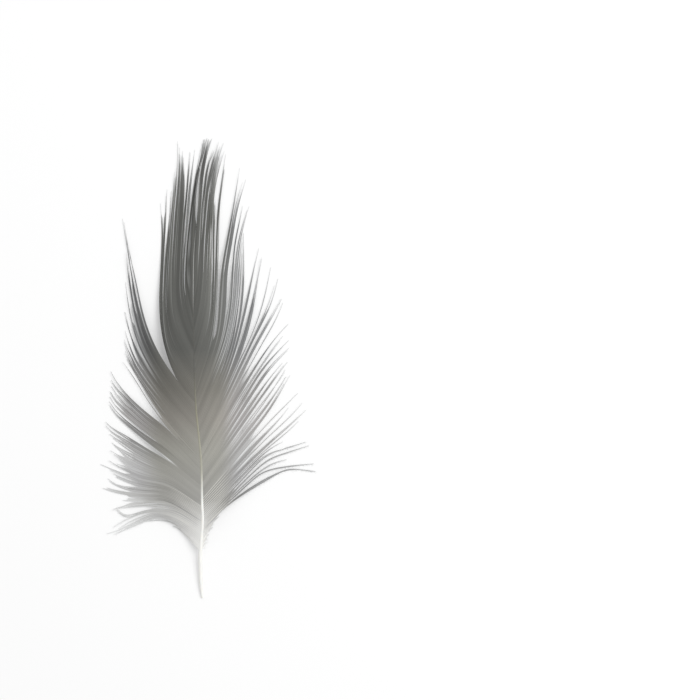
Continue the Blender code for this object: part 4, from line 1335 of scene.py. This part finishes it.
class FeatherStageSettings(bpy.types.PropertyGroup):
    floor_colour: bpy.props.FloatVectorProperty(
        name="Floor", description="Colour of the floor", subtype="COLOR", min=0, max=1,
        default=(0.62, 0.62, 0.62))
    floor_glow: bpy.props.FloatProperty(
        name="Floor glow", description="How much the floor glows, as a light table does", min=0, max=1,
        default=0.28)
    sky: bpy.props.FloatProperty(
        name="Surroundings", description="Strength of the even light from all sides", min=0, max=5,
        default=0.70)
    lamp: bpy.props.FloatProperty(
        name="Lamp", description="Power of the soft lamp at the upper right", unit="POWER", min=0,
        max=500, default=3.35)
    lens: bpy.props.FloatProperty(
        name="Lens", description="Focal length of the camera in millimetres", min=20, max=300,
        default=100)
    field: bpy.props.FloatProperty(
        name="Field", description="Width of the floor that the camera sees", unit="LENGTH",
        min=0.05, max=1, default=0.140)
    centre: bpy.props.FloatVectorProperty(
        name="Centre", description="Place on the floor at the centre of the view", size=2,
        unit="LENGTH", default=(0.0280, 0.0038))


# Operators

# The stage, in metres, and the camera's sensor, in millimetres
FLOOR_SIZE = 3.0
LAMP_PLACE = Vector((0.36, 0.20, 0.60))
LAMP_SIZE = 0.45
SENSOR_WIDTH = 36


class FEATHER_OT_make_shaft(bpy.types.Operator):
    """Model the quill and shaft"""

    bl_idname = "feather.make_shaft"
    bl_label = "Make Shaft"

    def execute(self, context):
        settings = context.scene.feather_shaft
        deselect_all()
        stations = at_equal_distances(SHAFT_CURVE, SHAFT_ROWS)
        y, x, radius = stations[0]
        bpy.ops.mesh.primitive_circle_add(
            vertices=SHAFT_SIDES, radius=radius * MM, fill_type="NGON",
            location=(x * MM, y * MM, arch_height(y) * MM), rotation=(math.pi / 2, 0, 0))
        shaft = context.object
        bpy.ops.object.transform_apply(location=True, rotation=True, scale=True)
        bpy.ops.object.mode_set(mode="EDIT")
        bpy.ops.mesh.select_mode(type="VERT")
        bpy.ops.mesh.select_all(action="SELECT")
        for before, after in zip(stations, stations[1:]):
            step = Vector((
                after[1] - before[1], after[0] - before[0], arch_height(after[0]) - arch_height(before[0])))
            bpy.ops.mesh.extrude_region_move(TRANSFORM_OT_translate={"value": step * MM})
            centre = Vector((after[1], after[0], arch_height(after[0]))) * MM
            scale = after[2] / before[2]
            bpy.ops.transform.resize(value=(scale, 1, scale), center_override=centre)
        bpy.ops.mesh.merge(type="CENTER")
        self.hollow_quill_end(shaft)
        self.press_groove(shaft, settings.groove)
        bpy.ops.object.mode_set(mode="OBJECT")
        smooth = shaft.modifiers.new("smooth", "SUBSURF")
        smooth.levels = 1
        smooth.render_levels = 1
        bpy.ops.object.modifier_apply(modifier=smooth.name)
        bpy.ops.object.mode_set(mode="EDIT")
        bpy.ops.mesh.select_all(action="SELECT")
        bpy.ops.mesh.normals_make_consistent(inside=False)
        bpy.ops.object.mode_set(mode="OBJECT")
        bpy.ops.object.shade_smooth_by_angle(angle=SHAFT_EDGE_ANGLE)
        shaft.name = "feather_shaft"
        shaft.data.materials.append(shaft_look(settings))
        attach(shaft, "root")
        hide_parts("shaft")
        return {"FINISHED"}

    def hollow_quill_end(self, shaft):
        """Sinks the small opening at the quill's tip."""
        edge = (AT_QUILL_TIP - HALF_LENGTH) * MM
        select_points(shaft, lambda co: co.y < edge)
        bpy.ops.mesh.inset(thickness=QUILL_RIM * MM)
        bpy.ops.transform.translate(value=(0, QUILL_DEPTH * MM, 0))

    def press_groove(self, shaft, depth):
        """Presses the groove that runs under the shaft above the quill."""
        def under(co):
            x, y, z = co / MM
            if not GROOVE_RUN[0] <= y <= GROOVE_RUN[1]:
                return False
            sideways, radius = shaft_at(y)
            low = z < arch_height(y) - GROOVE_LOW * radius
            return low and abs(x - sideways) < GROOVE_HALF_WIDTH * radius

        select_points(shaft, under)
        bpy.ops.transform.translate(value=(0, 0, depth))


def make_locks(context, names, downy):
    """Makes the named locks of barbs, each as one piece."""
    barbs = context.scene.feather_barbs
    barbules = context.scene.feather_barbules
    barb_pattern = model_barb()
    barbule_pattern = model_barbule(DOWN_RINGS if downy else FIRM_RINGS)
    looks = {}
    for side in (LEFT, RIGHT):
        side_barbs = lay_side(side, barbs)
        draw = np.random.default_rng(BARBULE_SEED + side)
        for name in names:
            lock_side, slot, _, _ = LOCKS[name]
            if lock_side != side:
                continue
            if slot not in looks:
                looks[slot] = barb_look(slot.replace("_", " "), barbs, *BARB_LOOKS[slot])
            chosen = np.flatnonzero(side_barbs["names"] == name)
            groups = [
                copy_barbs(side_barbs, chosen, barb_pattern, barbs),
                copy_barbules(side_barbs, chosen, barbule_pattern, barbs, barbules, downy, draw),
            ]
            piece = join_copies("barbs_" + name, groups, looks[slot])
            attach(piece, "root")
            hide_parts(name)


class FEATHER_OT_make_vane(bpy.types.Operator):
    """Model the locks of firm barbs, with their barbules"""

    bl_idname = "feather.make_vane"
    bl_label = "Make Vane"

    def execute(self, context):
        make_locks(context, VANE_LOCKS, False)
        return {"FINISHED"}


class FEATHER_OT_make_down(bpy.types.Operator):
    """Model the downy barbs beside the quill"""

    bl_idname = "feather.make_down"
    bl_label = "Make Down"

    def execute(self, context):
        make_locks(context, DOWN_LOCKS, True)
        return {"FINISHED"}


class FEATHER_OT_make_stage(bpy.types.Operator):
    """Add the floor, the light and the camera"""

    bl_idname = "feather.make_stage"
    bl_label = "Make Stage"

    def execute(self, context):
        stage = context.scene.feather_stage
        deselect_all()
        bpy.ops.mesh.primitive_plane_add(size=FLOOR_SIZE)
        floor = context.object
        floor.name = "floor"
        look = Look("floor")
        look.finish(
            Base_Color=(*stage.floor_colour, 1), Roughness=0.9, Specular_IOR_Level=0.1,
            Emission_Color=(1, 1, 1, 1), Emission_Strength=stage.floor_glow)
        floor.data.materials.append(look.material)

        world = bpy.data.worlds.new("surroundings")
        context.scene.world = world
        world.use_nodes = True
        background = world.node_tree.nodes["Background"]
        background.inputs["Color"].default_value = (1, 1, 1, 1)
        background.inputs["Strength"].default_value = stage.sky

        towards_feather = LAMP_PLACE.to_track_quat("Z", "Y").to_euler()
        bpy.ops.object.light_add(type="AREA", location=LAMP_PLACE, rotation=towards_feather)
        lamp = context.object
        lamp.name = "soft lamp"
        lamp.data.size = LAMP_SIZE
        lamp.data.energy = stage.lamp

        height = stage.lens / SENSOR_WIDTH * stage.field
        bpy.ops.object.camera_add(location=(*stage.centre, height), rotation=(0, 0, 0))
        camera = context.object
        camera.data.lens = stage.lens
        camera.data.sensor_width = SENSOR_WIDTH
        context.scene.camera = camera
        context.scene.view_settings.view_transform = "Standard"
        return {"FINISHED"}


class FEATHER_PT_panel(bpy.types.Panel):
    """Sizes and colours of the feather, and a button for each group of pieces"""

    bl_idname = "FEATHER_PT_panel"
    bl_label = "Heron Feather"
    bl_space_type = "VIEW_3D"
    bl_region_type = "UI"
    bl_category = "Feather"

    def draw(self, context):
        layout = self.layout
        rows = [
            ("feather_shaft", ["feather.make_shaft"]),
            ("feather_barbs", ["feather.make_vane", "feather.make_down"]),
            ("feather_barbules", []),
            ("feather_stage", ["feather.make_stage"]),
        ]
        for group_name, operators in rows:
            group = getattr(context.scene, group_name)
            box = layout.box()
            for key in group.bl_rna.properties.keys():
                if key not in ("name", "rna_type"):
                    box.prop(group, key)
            for operator in operators:
                box.operator(operator)


SETTINGS = {
    "feather_shaft": FeatherShaftSettings,
    "feather_barbs": FeatherBarbSettings,
    "feather_barbules": FeatherBarbuleSettings,
    "feather_stage": FeatherStageSettings,
}
CLASSES = [
    *SETTINGS.values(),
    FEATHER_OT_make_shaft,
    FEATHER_OT_make_vane,
    FEATHER_OT_make_down,
    FEATHER_OT_make_stage,
    FEATHER_PT_panel,
]


def register():
    for cls in CLASSES:
        bpy.utils.register_class(cls)
    for name, cls in SETTINGS.items():
        setattr(bpy.types.Scene, name, bpy.props.PointerProperty(type=cls))


def unregister():
    for name in SETTINGS:
        delattr(bpy.types.Scene, name)
    for cls in reversed(CLASSES):
        bpy.utils.unregister_class(cls)


def main():
    register()
    bpy.ops.feather.make_stage()
    bpy.ops.feather.make_shaft()
    bpy.ops.feather.make_vane()
    bpy.ops.feather.make_down()


if __name__ == "__main__":
    main()
